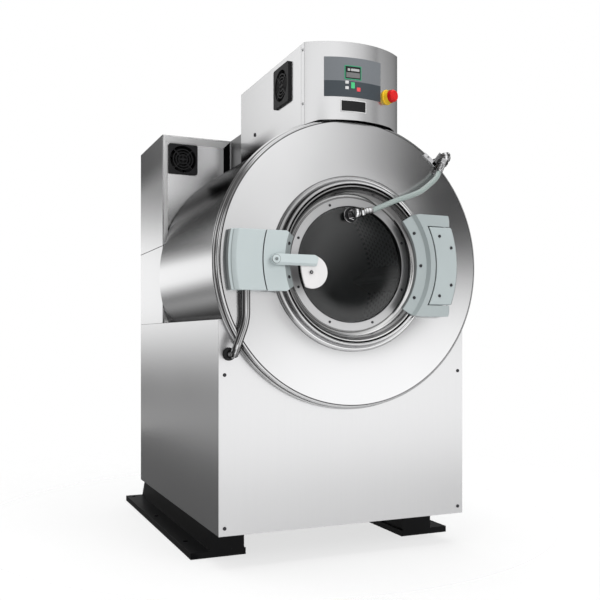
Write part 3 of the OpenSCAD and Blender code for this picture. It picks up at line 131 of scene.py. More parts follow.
def a_colour(name, description, default):
    return FloatVectorProperty(name=name, description=description, default=default, min=0, max=1, subtype="COLOR")


def a_power(name, description, default):
    return FloatProperty(name=name, description=description, default=default, min=0, max=1000, unit="POWER")


class MachineSizes(bpy.types.PropertyGroup):
    cover_edge: a_length("Cover edge", "Radius of the edges of the service cover", 0.0025, 0.0005, 0.006)
    casting_edge: a_length("Casting edge", "Radius of the edges of the hinge and lock castings", 0.005, 0.001, 0.012)
    turns: IntProperty(name="Turned steps", description="Faces round each turned piece", default=288, min=64, max=512)
    braid_pitch: a_length("Braid pitch", "Length of one turn of the hose's braid", 0.022, 0.008, 0.06)


class FinishColours(bpy.types.PropertyGroup):
    steel: a_colour("Steel", "Brushed stainless sheet", (0.60, 0.60, 0.605))
    polished: a_colour("Polished steel", "Trim rings, pipe and fittings", (0.66, 0.66, 0.665))
    casting: a_colour("Casting paint", "Hinge, lock and latch", (0.47, 0.53, 0.535))
    paddle: a_colour("Paddle", "Plastic paddle of the door handle", (0.74, 0.73, 0.73))
    rails: a_colour("Rails", "Paint of the floor rails", (0.002, 0.002, 0.0025))
    rubber: a_colour("Rubber", "Door seal, boot and belts", (0.012, 0.012, 0.013))
    hose: a_colour("Hose", "Braided spray hose", (0.27, 0.325, 0.31))
    membrane: a_colour("Membrane", "Upper field of the keypad", (0.155, 0.167, 0.18))
    membrane_dark: a_colour("Membrane band", "Lower field of the keypad", (0.042, 0.052, 0.061))
    stop_red: a_colour("Stop red", "Head of the emergency stop", (0.62, 0.008, 0.008))
    stop_yellow: a_colour("Stop yellow", "Collar of the emergency stop", (0.80, 0.50, 0.02))


class StageSettings(bpy.types.PropertyGroup):
    backdrop: a_colour("Backdrop", "Colour of the floor", (0.93, 0.93, 0.93))
    key_power: a_power("Key light", "Power of the large softbox before the machine", 62.0)
    fill_power: a_power("Fill light", "Power of the softbox on the left", 4.0)
    top_power: a_power("Top light", "Power of the softbox overhead", 100.0)
    back_power: a_power("Back light", "Power of the softbox behind", 25.0)


# Shader building


def add(tree, kind, inputs=None, **settings):
    """A shader node with its settings; an input is a plain value, or the level or socket that feeds it."""
    made = tree.nodes.new("ShaderNode" + kind)
    for name, value in settings.items():
        setattr(made, name, value)
    for key, value in (inputs or {}).items():
        value = getattr(value, "socket", value)
        if isinstance(value, bpy.types.NodeSocket):
            tree.links.new(value, made.inputs[key])
        else:
            made.inputs[key].default_value = value
    return made


class Level:
    """A number that nodes work out at each point of a surface; arithmetic on it adds nodes to its tree."""

    def __init__(self, socket):
        self.socket = socket
        self.tree = socket.id_data

    def maths(self, operation, other=0.0):
        """What a Math node makes of it and another level or a plain number."""
        return Level(add(self.tree, "Math", {0: self, 1: other}, operation=operation).outputs[0])

    __add__ = partialmethod(maths, "ADD")
    __sub__ = partialmethod(maths, "SUBTRACT")
    __mul__ = partialmethod(maths, "MULTIPLY")
    __truediv__ = partialmethod(maths, "DIVIDE")
    __mod__ = partialmethod(maths, "MODULO")
    __lt__ = partialmethod(maths, "LESS_THAN")
    __gt__ = partialmethod(maths, "GREATER_THAN")
    __neg__ = partialmethod(maths, "MULTIPLY", -1.0)
    __abs__ = partialmethod(maths, "ABSOLUTE")

    def __rsub__(self, other):
        return Level(add(self.tree, "Math", {0: other, 1: self}, operation="SUBTRACT").outputs[0])

    def ranged(self, ends, **settings):
        return Level(add(self.tree, "MapRange", {"Value": self, **ends}, **settings).outputs[0])

    def share(self, low, high):
        """How far it has come from low to high, from 0 to 1."""
        return self.ranged({"From Min": low, "From Max": high})

    def step(self, low, high):
        """A soft step from 0 at low to 1 at high."""
        return self.ranged({"From Min": low, "From Max": high}, interpolation_type="SMOOTHSTEP")

    def spread(self, low, high):
        """Its span from 0 to 1 taken to the span from low to high."""
        return self.ranged({"To Min": low, "To Max": high})

    def ramp(self, stops):
        """Grey levels along it, from (place, level) stops."""
        made = add(self.tree, "ValToRGB", {"Fac": self})
        for _ in stops[1:-1]:
            made.color_ramp.elements.new(0.5)
        for element, (place, level) in zip(made.color_ramp.elements, stops):
            element.position = place
            element.color = (level, level, level, 1)
        return Level(made.outputs["Color"])


def hypot(a, b):
    return (a * a + b * b).maths("SQRT")


def parts(tree, vector):
    """A vector's three numbers, as levels."""
    return [Level(out) for out in add(tree, "SeparateXYZ", {0: vector}).outputs]


def coordinates(tree, kind):
    return parts(tree, add(tree, "TexCoord").outputs[kind])


def part_point(tree, scale=(1, 1, 1)):
    """The point in the part's own frame, in metres, stretched by scale."""
    point = add(tree, "TexCoord").outputs["Object"]
    return add(tree, "Mapping", {"Vector": point, "Scale": scale}).outputs[0]


def place(tree):
    """The point's x, y and z in the part's own frame."""
    return parts(tree, part_point(tree))


def about_axis(tree):
    """Radius from the drum's axis and the angle round it."""
    x, _, z = place(tree)
    up = z - AXIS.z
    return hypot(x, up), up.maths("ARCTAN2", x)


def noise(tree, scale, detail=3.0, roughness=0.5, stretch=(1, 1, 1)):
    return Level(add(tree, "TexNoise", {"Vector": part_point(tree, stretch), "Scale": scale, "Detail": detail,
                                        "Roughness": roughness}).outputs["Fac"])


def mixed(factor, one, two):
    """One colour where the factor is 0 and the other where it is 1; each is plain, a level or a socket."""
    one, two = (c if isinstance(c, (Level, bpy.types.NodeSocket)) else (*c, 1) for c in (one, two))
    return add(factor.tree, "MixRGB", {"Fac": factor, "Color1": one, "Color2": two}).outputs[0]


def shades(factor, colour, dark, light):
    """The colour between a darker and a lighter shade of it."""
    return mixed(factor, [c * dark for c in colour], [min(1.0, c * light) for c in colour])


def new_finish(name, colour, rough, **values):
    """A material, its tree and its shader, with uniform values on the shader's own sockets."""
    material = bpy.data.materials.new(name)
    material.use_nodes = True
    shader = material.node_tree.nodes["Principled BSDF"]
    shader.inputs["Base Color"].default_value = (*colour, 1.0)
    shader.inputs["Roughness"].default_value = rough
    for key, value in values.items():
        shader.inputs[key.replace("_", " ")].default_value = value
    return material, material.node_tree, shader


def feed(shader, **values):
    """Links a level or a socket to each named input of a shader."""
    for key, value in values.items():
        shader.id_data.links.new(getattr(value, "socket", value), shader.inputs[key.replace("_", " ")])


def bump(shader, height, strength, distance):
    feed(shader, Normal=add(height.tree, "Bump", {"Height": height, "Strength": strength,
                                                  "Distance": distance}).outputs[0])


# Finishes: sheet, paint, plastic and glass


def sheet_steel(name, colour, grain, rough):
    """Brushed sheet: fine straight marks along the axis where grain is small, and faint clouds from rolling."""
    finish, tree, shader = new_finish(name, colour, rough, Metallic=1.0)
    both = noise(tree, 1.0, stretch=grain) * 0.6 + noise(tree, 2.2, 2.0) * 0.4
    feed(shader, Base_Color=shades(both, colour, 0.97, 1.03), Roughness=both.spread(rough - 0.03, rough + 0.04))
    return finish


def turned_steel(name, colour, rough, anisotropy):
    """Sheet brushed in circles about the drum's axis, as a spun front plate is."""
    finish, tree, shader = new_finish(name, colour, rough, Metallic=1.0, Anisotropic=anisotropy)
    radius, _ = about_axis(tree)
    rings = add(tree, "TexNoise", {"W": radius, "Scale": 900.0, "Detail": 3.0}, noise_dimensions="1D")
    feed(shader, Base_Color=shades(Level(rings.outputs["Fac"]), colour, 0.94, 1.05),
         Roughness=noise(tree, 3.0).spread(rough - 0.04, rough + 0.05),
         Tangent=add(tree, "Tangent", direction_type="RADIAL", axis="Y").outputs[0])
    return finish


def polished_steel(name, colour, rough=0.12):
    """Polished stainless with a faint haze of handling."""
    finish, tree, shader = new_finish(name, colour, rough, Metallic=1.0)
    haze = noise(tree, 14.0, 4.0)
    feed(shader, Base_Color=shades(haze, colour, 0.95, 1.04), Roughness=haze.spread(rough - 0.04, rough + 0.08))
    return finish


def cast_paint(name, colour, rough=0.36):
    """Thick smooth paint on a casting, with a slight orange peel."""
    finish, tree, shader = new_finish(name, colour, rough, Coat_Weight=0.25, Coat_Roughness=0.2)
    peel = noise(tree, 420.0, 2.0)
    feed(shader, Base_Color=shades(noise(tree, 9.0), colour, 0.96, 1.04),
         Roughness=peel.spread(rough - 0.05, rough + 0.07))
    bump(shader, peel, 0.12, 0.0003)
    return finish


def moulded(name, colour, rough=0.4, shine=0.5, grain=900.0, depth=0.0002, coat=0.0):
    """Moulded plastic or rubber with a fine grain."""
    finish, tree, shader = new_finish(name, colour, rough, Coat_Weight=coat, Specular_IOR_Level=shine)
    pores = noise(tree, grain)
    feed(shader, Base_Color=shades(noise(tree, 12.0), colour, 0.92, 1.08),
         Roughness=pores.spread(rough - 0.06, rough + 0.1))
    bump(shader, pores, 0.15, depth)
    return finish


def scuffed_paint(name, colour, bare=(0.04, 0.04, 0.042), rough=0.42):
    """Satin paint with sparse scuffs that show a lighter ground."""
    finish, tree, shader = new_finish(name, colour, rough, Specular_IOR_Level=0.12)
    worn = noise(tree, 6.0, 6.0, 0.7, (9, 3, 9)).share(0.66, 0.74)
    peel = noise(tree, 300.0, 2.0)
    feed(shader, Base_Color=mixed(worn, colour, bare), Roughness=peel.spread(rough - 0.06, rough + 0.1))
    bump(shader, peel, 0.15, 0.0003)
    return finish


def door_pane(name):
    """Clear toughened glass with a faint grey body."""
    finish, tree, shader = new_finish(name, (0.34, 0.355, 0.36), 0.02, IOR=1.47, Transmission_Weight=1.0)
    feed(shader, Roughness=noise(tree, 7.0, 4.0).spread(0.0, 0.05))
    return finish


def drum_steel(name, colour):
    """The basket's steel with rows of drain holes round its wall."""
    finish, tree, shader = new_finish(name, colour, 0.32, Metallic=1.0)
    hole_pitch, hole_share, wall_r = 0.022, 0.30, 0.44
    radius, angle = about_axis(tree)
    _, y, _ = place(tree)
    along = y / hole_pitch
    around = angle * (wall_r / hole_pitch) + along.maths("FLOOR") % 2.0 * 0.5
    off = hypot(around.maths("FRACT") - 0.5, along.maths("FRACT") - 0.5)
    hole = (off < hole_share) * (radius > wall_r - 0.01)
    feed(shader, Base_Color=mixed(hole, colour, [c * 0.82 for c in colour]), Roughness=hole.spread(0.32, 0.9))
    return finish


def braided(name, colour, pitch):
    """Braided hose: two sets of strands wound opposite ways along its length."""
    finish, tree, shader = new_finish(name, colour, 0.3, Coat_Weight=0.9, Coat_Roughness=0.06)
    u, v, _ = coordinates(tree, "UV")
    strands = 8.0
    around, along = u * strands, v / pitch
    one, two = ((twist * math.tau).maths("SINE") for twist in (around + along, around - along))
    weave = one.maths("MAXIMUM", two)
    feed(shader, Base_Color=shades(weave.spread(0.35, 1.0), colour, 0.72, 1.12))
    bump(shader, weave, 0.5, 0.0006)
    return finish


def two_tone_membrane(name, upper, lower, split_z):
    """Keypad film with a lighter field over a darker band."""
    finish, tree, shader = new_finish(name, upper, 0.42, Specular_IOR_Level=0.3)
    _, _, z = place(tree)
    film = noise(tree, 1600.0, 2.0)
    feed(shader, Base_Color=mixed(z > split_z, lower, upper), Roughness=film.spread(0.34, 0.52))
    bump(shader, film, 0.08, 0.0001)
    return finish


def framed_window(name, inside, border, node, margin):
    """A dark window with a coloured edge of that margin, drawn from the node's own box."""
    finish, tree, shader = new_finish(name, inside, 0.12, Specular_IOR_Level=0.18)
    low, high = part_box(node)
    x, _, z = place(tree)
    middle, half = (low + high) / 2, (high - low) / 2
    inward = (half.x - abs(x - middle.x)).maths("MINIMUM", half.z - abs(z - middle.z))
    feed(shader, Base_Color=mixed(inward < margin, inside, border),
         Roughness=noise(tree, 90.0, 2.0).spread(0.08, 0.2))
    return finish


def lit_screen(name, border, node, margin):
    """A display with a plain spot and bar over a lit field, which say nothing."""
    finish = framed_window(name, (0.012, 0.014, 0.013), border, node, margin)
    shader = finish.node_tree.nodes["Principled BSDF"]
    low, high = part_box(node)
    x, _, z = place(finish.node_tree)
    u, v = x.share(low.x, high.x), z.share(low.z, high.z)

    def block(middle_u, half_u, middle_v, half_v):
        return (abs(u - middle_u) < half_u) * (abs(v - middle_v) < half_v)
    face = shader.inputs["Base Color"].links[0].from_socket
    spot_and_bar = block(0.62, 0.25, 0.70, 0.085) + block(0.25, 0.07, 0.70, 0.085)
    for where, grey in ((block(0.5, 0.40, 0.33, 0.18), 0.16), (spot_and_bar, 0.42)):
        face = mixed(where, face, (grey, grey, grey))
    feed(shader, Base_Color=face)
    return finish


# Painted shade and painted reflections by place and by facing: what the real machine mirrors of the studio round it,
# and the shade on it, drawn into the colour


def paint_in_shade(finish, shade_amount, *values):
    """Paints shade into a finish: takes its colour and its glance down, by an amount from 0 to 1 drawn in its own
    tree.
    """
    deep = (0.02, 0.018, 0.018)
    shader = finish.node_tree.nodes["Principled BSDF"]
    dark = shade_amount(finish.node_tree, *values)
    feed(shader, Base_Color=mixed(dark, shader.inputs["Base Color"].links[0].from_socket, deep),
         Specular_Tint=mixed(dark, (1, 1, 1), deep))


def shell_painted_shade(tree):
    """Painted shade: darker over and under the shell's sides, and most along its top."""
    _, _, z = place(tree)
    both = z.step(AXIS.z + 0.10, AXIS.z + 0.25) + (-z).step(0.11 - AXIS.z, 0.20 - AXIS.z)
    return both * 0.68 + z.step(AXIS.z + 0.20, AXIS.z + 0.28) * 0.22


def foot_painted_shade(tree, node, height, dark):
    """Painted shade: darker over the node's lowest stretch, towards its rear."""
    low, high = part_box(node)
    deep = high.y - low.y
    _, y, z = place(tree)
    foot = 1.0 - z.step(low.z + 0.2 * height, low.z + height)
    return foot * y.step(low.y + 0.30 * deep, low.y + 0.75 * deep) * dark


def right_end_painted_shade(tree, node, dark):
    """Painted shade: darker over a node's right end."""
    low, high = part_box(node)
    wide = high.x - low.x
    x, _, _ = place(tree)
    return x.step(low.x + 0.66 * wide, low.x + 0.94 * wide) * dark


def upper_sides_painted_shade(tree, node, fall, dark):
    """Painted shade: darker over the uppermost stretch of a node's two sides."""
    _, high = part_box(node)
    x, _, z = place(tree)
    side = abs(x).step(high.x - 0.003, high.x - 0.001)
    return side * z.step(high.z - fall, high.z - 0.4 * fall) * dark


def painted_reflection_round_axis(tree, stops):
    """Painted reflection, by levels round the drum's axis: left, below, right, above and left again."""
    _, angle = about_axis(tree)
    return 1.0 - (angle / math.tau + 0.5).ramp(stops)


def dish_painted_reflection(tree, stops):
    """Painted reflection by levels round the axis, and painted shade along the dish's inner foot."""
    radius, _ = about_axis(tree)
    foot = width_of("retaining_ring") / 2
    inner = 1.0 - radius.step(foot, foot + 0.014)
    return painted_reflection_round_axis(tree, stops).maths("MAXIMUM", inner * 0.8)


def inner_edge_painted_shade(tree, node, width, dark):
    """Painted shade along the edge that a node turns towards the axis."""
    reach = min(math.hypot(v.co.x - AXIS.x, v.co.z - AXIS.z) for v in NODES[node].data.vertices)
    radius, _ = about_axis(tree)
    return (1.0 - radius.step(reach + 0.6 * width, reach + width)) * dark


def edge_joint_shadow(tree):
    """The joint along the front plate's edge, darkened with painted shadow."""
    radius, _ = about_axis(tree)
    edge = width_of("front_plate") / 2
    return radius.step(edge - 0.0034, edge - 0.0022) * 0.9


def rim_groove_shade_and_reflection(tree, stops):
    """Painted shade in the groove between the rim's two beads, and painted reflection by levels round it."""
    _, y, _ = place(tree)
    groove = (1.0 - abs(y - (PANEL_Y - 0.0270)).step(0.0040, 0.0062)) * 0.92
    return groove.maths("MAXIMUM", painted_reflection_round_axis(tree, stops))


def painted_shade_by_facing(tree, stops):
    """Painted reflection on chrome and painted shade on castings, by how far a face looks to the right, from -1 to 1.
    """
    facing, _, _ = coordinates(tree, "Normal")
    return 1.0 - (facing * 0.5 + 0.5).ramp(stops)


# Levels by facing, from left to right: painted reflections of dark flags beside the light on round chrome, and
# painted shade on the flanks of castings
MIRROR_LEVELS = ((0.0, 0.5), (0.07, 0.25), (0.2, 0.12), (0.27, 0.5), (0.32, 1.0), (0.41, 1.0), (0.47, 0.35),
                 (0.53, 0.15), (0.62, 0.6), (0.75, 0.5), (0.82, 0.06), (1.0, 0.04))
CAST_LEVELS = ((0.0, 0.35), (0.05, 0.4), (0.14, 0.8), (0.2, 1.0), (0.66, 1.0), (0.75, 0.6), (0.9, 0.3), (1.0, 0.25))
# Painted reflection, by levels round the axis: left, below, right, above and left again
RIM_LEVELS = ((0.0, 1.0), (0.877, 1.0), (0.905, 0.22), (0.943, 0.22), (0.972, 1.0), (1.0, 1.0))
TRIM_LEVELS = ((0.0, 0.4), (0.14, 0.9), (0.3, 1.0), (0.72, 1.0), (0.80, 0.8), (0.90, 0.45), (1.0, 0.4))
DISH_LEVELS = ((0.0, 0.18), (0.12, 0.35), (0.20, 0.8), (0.26, 1.0), (0.32, 1.0), (0.375, 0.58), (0.43, 0.72),
               (0.50, 0.62), (0.57, 0.2), (0.625, 0.14), (0.70, 0.24), (0.77, 0.38), (0.88, 0.25), (1.0, 0.18))


def make_finishes(colours, sizes):
    """Every finish, by its slot in the record or by its own name."""
    upright, level, lengthwise = (260, 260, 3), (3, 260, 260), (260, 3, 260)
    steel, polished, casting = colours.steel, colours.polished, colours.casting
    keypad_low, keypad_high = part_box("keypad_panel")
    band_top = keypad_low.z + 0.4 * (keypad_high.z - keypad_low.z)

    def tint(colour, by):
        return [min(1.0, c * by) for c in colour]
    makers = {
        "brushed_panel": (sheet_steel, steel, upright, 0.30),
        "side_sheet": (sheet_steel, steel, upright, 0.24),
        "hood_sheet": (sheet_steel, steel, level, 0.22),
        "shell_sheet": (sheet_steel, steel, lengthwise, 0.18),
        "box_sheet": (sheet_steel, steel, level, 0.22),
        "bulged_sheet": (sheet_steel, steel, level, 0.22),
        "control_sheet": (sheet_steel, steel, level, 0.22),
        # A darker copy of the steel: painted shade on the centre housing
        "dim_sheet": (sheet_steel, tint(steel, 0.3), level, 0.3),
        # Near white: a painted highlight on the box fronts' lips
        "lip_enamel": (moulded, (0.94, 0.94, 0.94), 0.45),
        "clamp_plate": (moulded, (0.46, 0.46, 0.47), 0.3, 0.9),
        "spun_plate": (turned_steel, steel, 0.17, 0.5),
        "turned_trim": (turned_steel, polished, 0.16, 0.5),
        "door_dish": (turned_steel, (0.82, 0.82, 0.82), 0.16, 0.4),
        "brushed_ring": (turned_steel, tint(steel, 0.82), 0.36, 0.6),
        "rim_steel": (polished_steel, polished),
        "polished_steel": (polished_steel, polished),
        "bright_tube": (polished_steel, polished, 0.08),
        "chrome": (polished_steel, (0.8, 0.8, 0.81), 0.05),
        "screw_steel": (polished_steel, (0.62, 0.625, 0.63), 0.25),
        "dark_screw": (polished_steel, (0.055, 0.055, 0.06), 0.3),
        "black_paint": (scuffed_paint, colours.rails),
        "frame_paint": (scuffed_paint, (0.10, 0.105, 0.11), (0.2, 0.2, 0.2)),
        "cast_iron": (scuffed_paint, (0.13, 0.135, 0.14), (0.3, 0.3, 0.3), 0.55),
        "casting_paint": (cast_paint, casting),
        # Darker copies of the casting paint: painted shade on the hinge's block and arm, and painted shadow in the
        # lever boss's groove
        "block_paint": (cast_paint, tint(casting, 0.86)),
        "arm_paint": (cast_paint, tint(casting, 0.75)),
        "groove_paint": (cast_paint, tint(casting, 0.4)),
        "lever_paint": (cast_paint, tint(casting, 1.1), 0.3),
        "motor_paint": (cast_paint, (0.06, 0.12, 0.16), 0.45),
        "paddle_plastic": (moulded, colours.paddle, 0.3, 0.5, 500.0, 0.0001, 0.3),
        "dark_glass": (door_pane,),
        "black_rubber": (moulded, colours.rubber, 0.62, 0.25),
        "grille_plastic": (moulded, (0.019, 0.019, 0.020), 0.42, 0.10),
        "seam_shadow": (moulded, (0.002, 0.002, 0.002), 0.9, 0.03),
        "valve_plastic": (moulded, (0.05, 0.16, 0.38), 0.4),
        "drain_plastic": (moulded, (0.02, 0.02, 0.022), 0.5),
        "hose_plastic": (braided, colours.hose, sizes.braid_pitch),
        "basket_steel": (drum_steel, (0.17, 0.17, 0.175)),
        "keypad_film": (two_tone_membrane, colours.membrane, colours.membrane_dark, band_top),
        "display_glass": (lit_screen, (0.05, 0.30, 0.16), "display_window", 0.003),
        "plate_enamel": (framed_window, (0.010, 0.010, 0.011), (0.62, 0.62, 0.62), "name_plate", 0.0028),
        "key_white": (moulded, (0.62, 0.62, 0.62), 0.45),
        "key_green": (moulded, (0.05, 0.50, 0.19), 0.45),
        "key_red": (moulded, (0.75, 0.06, 0.075), 0.45),
        "stop_yellow": (moulded, colours.stop_yellow, 0.34, 0.3, 700.0, 0.0001),
        "stop_red": (moulded, colours.stop_red, 0.30, 0.25, 700.0, 0.0001),
    }
    finishes = {name: maker(name, *values) for name, (maker, *values) in makers.items()}
    # Painted shade and painted reflections, drawn into these finishes' colours
    for name, *shading in (
            ("hood_sheet", upper_sides_painted_shade, "rear_hood", 0.20, 0.42), ("shell_sheet", shell_painted_shade),
            ("bulged_sheet", right_end_painted_shade, "control_front", 0.28),
            ("control_sheet", foot_painted_shade, "control_box", 0.085, 0.85),
            ("arm_paint", inner_edge_painted_shade, "hinge_arm", 0.009, 0.8), ("spun_plate", edge_joint_shadow),
            ("rim_steel", rim_groove_shade_and_reflection, RIM_LEVELS), ("turned_trim", painted_reflection_round_axis, TRIM_LEVELS),
            ("door_dish", dish_painted_reflection, DISH_LEVELS), ("bright_tube", painted_shade_by_facing, MIRROR_LEVELS),
            ("chrome", painted_shade_by_facing, MIRROR_LEVELS), ("casting_paint", painted_shade_by_facing, CAST_LEVELS),
            ("block_paint", painted_shade_by_facing, CAST_LEVELS)):
        paint_in_shade(finishes[name], *shading)
    return finishes


FINISHES = {}


def coat(obj, finish, slot=None):
    """Gives obj one finish; slot is not used."""
    obj.data.materials.clear()
    obj.data.materials.append(FINISHES[finish])


# Mesh building


def finish_mesh(name, maker, finish, node, sharp=32.0, stands_for=None, body=None, rides=True):
    """Turns a bmesh into a piece with its finish, that rides with the node's body."""
    data = bpy.data.meshes.new(name)
    maker.normal_update()
    maker.to_mesh(data)
    maker.free()
    data.polygons.foreach_set("use_smooth", [True] * len(data.polygons))
    data.set_sharp_from_angle(angle=math.radians(sharp))
    piece = bpy.data.objects.new(name, data)
    bpy.context.scene.collection.objects.link(piece)
    piece.modifiers.new("level_faces", "WEIGHTED_NORMAL").keep_sharp = True
    coat(piece, finish, SLOT_OF[node])
    if rides:
        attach(piece, body or BODY_OF[node])
    for other in stands_for if stands_for is not None else [node]:
        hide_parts(other)
    return piece


def bend(start, corner, end, steps):
    """Points of the curve that leaves a corner's two edges at start and end."""
    return [start * (1 - t) ** 2 + corner * 2 * t * (1 - t) + end * t ** 2
            for t in (k / steps for k in range(steps + 1))]


def softened(corners, steps=5):
    """A closed outline whose corners (a, b, fillet) are rounded, as far as their edges allow; (a, b) stays sharp."""
    outline = []
    for i, (a, b, *fillet) in enumerate(corners):
        here = Vector((a, b))
        before = Vector(corners[i - 1][:2]) - here
        after = Vector(corners[(i + 1) % len(corners)][:2]) - here
        if not fillet:
            outline.append(here)
            continue
        half = before.angle(after) / 2
        reach = min(fillet[0] / max(math.tan(half), 1e-4), 0.49 * before.length, 0.49 * after.length)
        outline += bend(here + before.normalized() * reach, here, here + after.normalized() * reach, steps)
    return outline


def eased(corners, reaches, steps):
    """A path through corners whose inner ones are rounded, each by its own reach."""
    path = [corners[0]]
    for before, here, after, reach in zip(corners, corners[1:], corners[2:], reaches):
        path += bend(here + (before - here).normalized() * reach, here,
                     here + (after - here).normalized() * reach, steps)
    return path + [corners[-1]]


def smooth_path(points, steps):
    """Points of a smooth curve through the given ones."""
    path = []
    for i in range(len(points) - 1):
        p0 = points[max(i - 1, 0)]
        p1, p2 = points[i], points[i + 1]
        p3 = points[min(i + 2, len(points) - 1)]
        for k in range(steps):
            t = k / steps
            path.append(0.5 * (2 * p1 + (p2 - p0) * t + (2 * p0 - 5 * p1 + 4 * p2 - p3) * t ** 2
                               + (3 * p1 - p0 - 3 * p2 + p3) * t ** 3))
    path.append(points[-1].copy())
    return path


def arc(r, proud, radius, start, end, steps=12):
    """Points of an arc about (r, proud), from one angle to the other, for an outline."""
    angles = [math.radians(start + (end - start) * k / steps) for k in range(steps + 1)]
    return [(r + radius * math.cos(a), proud + radius * math.sin(a)) for a in angles]


def at_angle(radius, degrees, proud):
    """The point at a radius and an angle about the drum's axis, that far before the front panel."""
    a = math.radians(degrees)
    return Vector((radius * math.cos(a), PANEL_Y - proud, AXIS.z + radius * math.sin(a)))


def turn_on(maker, outline, foot, along, turns, closed=True, shape=None):
    """Turns an outline of (radius, height) about a line from foot; shape may change a radius by its angle."""
    along = Vector(along).normalized()
    side = along.orthogonal().normalized()
    across = along.cross(side)
    rings = []
    for i in range(turns):
        a = math.tau * i / turns
        out = math.cos(a) * side + math.sin(a) * across
        rings.append([maker.verts.new(foot + out * (r * (shape(k, a) if shape else 1.0)) + along * h)
                      for k, (r, h) in enumerate(outline)])
    count = len(outline)
    made = []
    for i in range(turns):
        one, two = rings[i], rings[(i + 1) % turns]
        for k in range(count if closed else count - 1):
            made.append(maker.faces.new((one[k], two[k], two[(k + 1) % count], one[(k + 1) % count])))
    poles = [v for ring in rings for v, (r, _) in zip(ring, outline) if r < 1e-7]
    if poles:
        bmesh.ops.remove_doubles(maker, verts=poles, dist=1e-7)
    bmesh.ops.recalc_face_normals(maker, faces=[f for f in made if f.is_valid])
    return maker


def lathe(outline, turns):
    """A closed outline of (radius, proud) turned about the drum's axis."""
    return turn_on(bmesh.new(), outline, Vector((AXIS.x, PANEL_Y, AXIS.z)), FORWARD, turns)


def turned(name, corners, foot, finish, node, turns):
    """A small solid turned forwards from its foot, from softened corners, that stands for no node."""
    maker = turn_on(bmesh.new(), softened(corners, 4), foot, FORWARD, turns, False)
    finish_mesh(name, maker, finish, node, stands_for=[])


def six_flats(_, a):
    """A shape for turn_on that gives an outline six flats."""
    return math.cos(math.pi / 6) / math.cos((a % (math.pi / 3)) - math.pi / 6)


def nut(maker, foot, along, radius, height):
    """A hexagon nut with a washer face and chamfered corners; radius is over its corners."""
    turn_on(maker, [(0.0, 0.0), (radius * 0.94, 0.0), (radius, height * 0.12), (radius, height * 0.88),
                    (radius * 0.93, height), (0.0, height)], foot, along, 48, False, six_flats)


def ball(maker, centre, radius):
    rows = 20
    turns = [math.pi * k / rows for k in range(1, rows)]
    outline = [(0.0, -radius), *[(radius * math.sin(a), -radius * math.cos(a)) for a in turns], (0.0, radius)]
    turn_on(maker, outline, centre, (0, 0, 1), 48, False)


def rod(maker, start, end, outline, turns=32):
    """Turns an outline of (radius, share of the way) about the line between two points."""
    length = (end - start).length
    turn_on(maker, [(r, share * length) for r, share in outline], start, end - start, turns, False)


def plain_rod(maker, start, end, radius, edge=0.0008, turns=32):
    length = (end - start).length
    e = min(edge, radius / 3, length / 3) / length
    rod(maker, start, end, [(0.0, 0.0), (radius - edge, 0.0), (radius, e), (radius, 1 - e), (radius - edge, 1.0),
                            (0.0, 1.0)], turns)


def ferrule(maker, start, end, radius, grooves=4):
    """A crimped ferrule with turned grooves."""
    outline = [(0.0, 0.0), (radius * 0.9, 0.0), (radius, 0.04)]
    for k in range(grooves):
        at = 0.16 + 0.62 * k / (grooves - 1)
        outline += [(radius, at - 0.05), (radius * 0.88, at - 0.02), (radius * 0.88, at + 0.02), (radius, at + 0.05)]
    outline += [(radius, 0.95), (radius * 0.9, 1.0), (0.0, 1.0)]
    rod(maker, start, end, outline)


def tube(name, path, radius, sides, finish, node, rides=True):
    """A round tube along a path, with its length and turn in its UVs."""
    maker = bmesh.new()
    layer = maker.loops.layers.uv.new("UVMap")
    side = Vector((0, 1, 0))
    rings, run = [], [0.0]
    for i, point in enumerate(path):
        ahead = (path[min(i + 1, len(path) - 1)] - path[max(i - 1, 0)]).normalized()
        side = (side - ahead * side.dot(ahead)).normalized()
        across = ahead.cross(side)
        rings.append([maker.verts.new(point + radius * (math.cos(math.tau * k / sides) * side
                                                        + math.sin(math.tau * k / sides) * across))
                      for k in range(sides)])
        if i:
            run.append(run[-1] + (point - path[i - 1]).length)
    for i in range(len(rings) - 1):
        for k in range(sides):
            n = (k + 1) % sides
            face = maker.faces.new((rings[i][k], rings[i][n], rings[i + 1][n], rings[i + 1][k]))
            marks = ((k, i), (k + 1, i), (k + 1, i + 1), (k, i + 1))
            for loop, (turn, at) in zip(face.loops, marks):
                loop[layer].uv = (turn / sides, run[at])
    maker.faces.new(rings[0])
    maker.faces.new(list(reversed(rings[-1])))
    bmesh.ops.recalc_face_normals(maker, faces=maker.faces)
    return finish_mesh(name, maker, finish, node, rides=rides)


def islands(node):
    """The node's separate solids: for each the middle of its seat, its outward direction and its radius."""
    maker = bmesh.new()
    maker.from_mesh(NODES[node].data)
    bmesh.ops.remove_doubles(maker, verts=maker.verts, dist=1e-7)
    found, seen = [], set()
    for first in maker.verts:
        if first in seen:
            continue
        group, queue = [], [first]
        seen.add(first)
        while queue:
            here = queue.pop()
            group.append(here)
            for edge in here.link_edges:
                other = edge.other_vert(here)
                if other not in seen:
                    seen.add(other)
                    queue.append(other)
        facings = {}
        for face in dict.fromkeys(f for v in group for f in v.link_faces):
            key = tuple(round(c, 2) for c in face.normal)
            facings.setdefault(key, [0.0, face.normal.copy(), []])
            facings[key][0] += face.calc_area()
            facings[key][2].extend(v.co.copy() for v in face.verts)
        _, normal, points = max(facings.values(), key=lambda entry: entry[0])
        low, high = (Vector([end(q[k] for q in points) for k in range(3)]) for end in (min, max))
        middle = (low + high) / 2
        found.append((middle, -normal, max((q - middle).length for q in points)))
    maker.free()
    return found


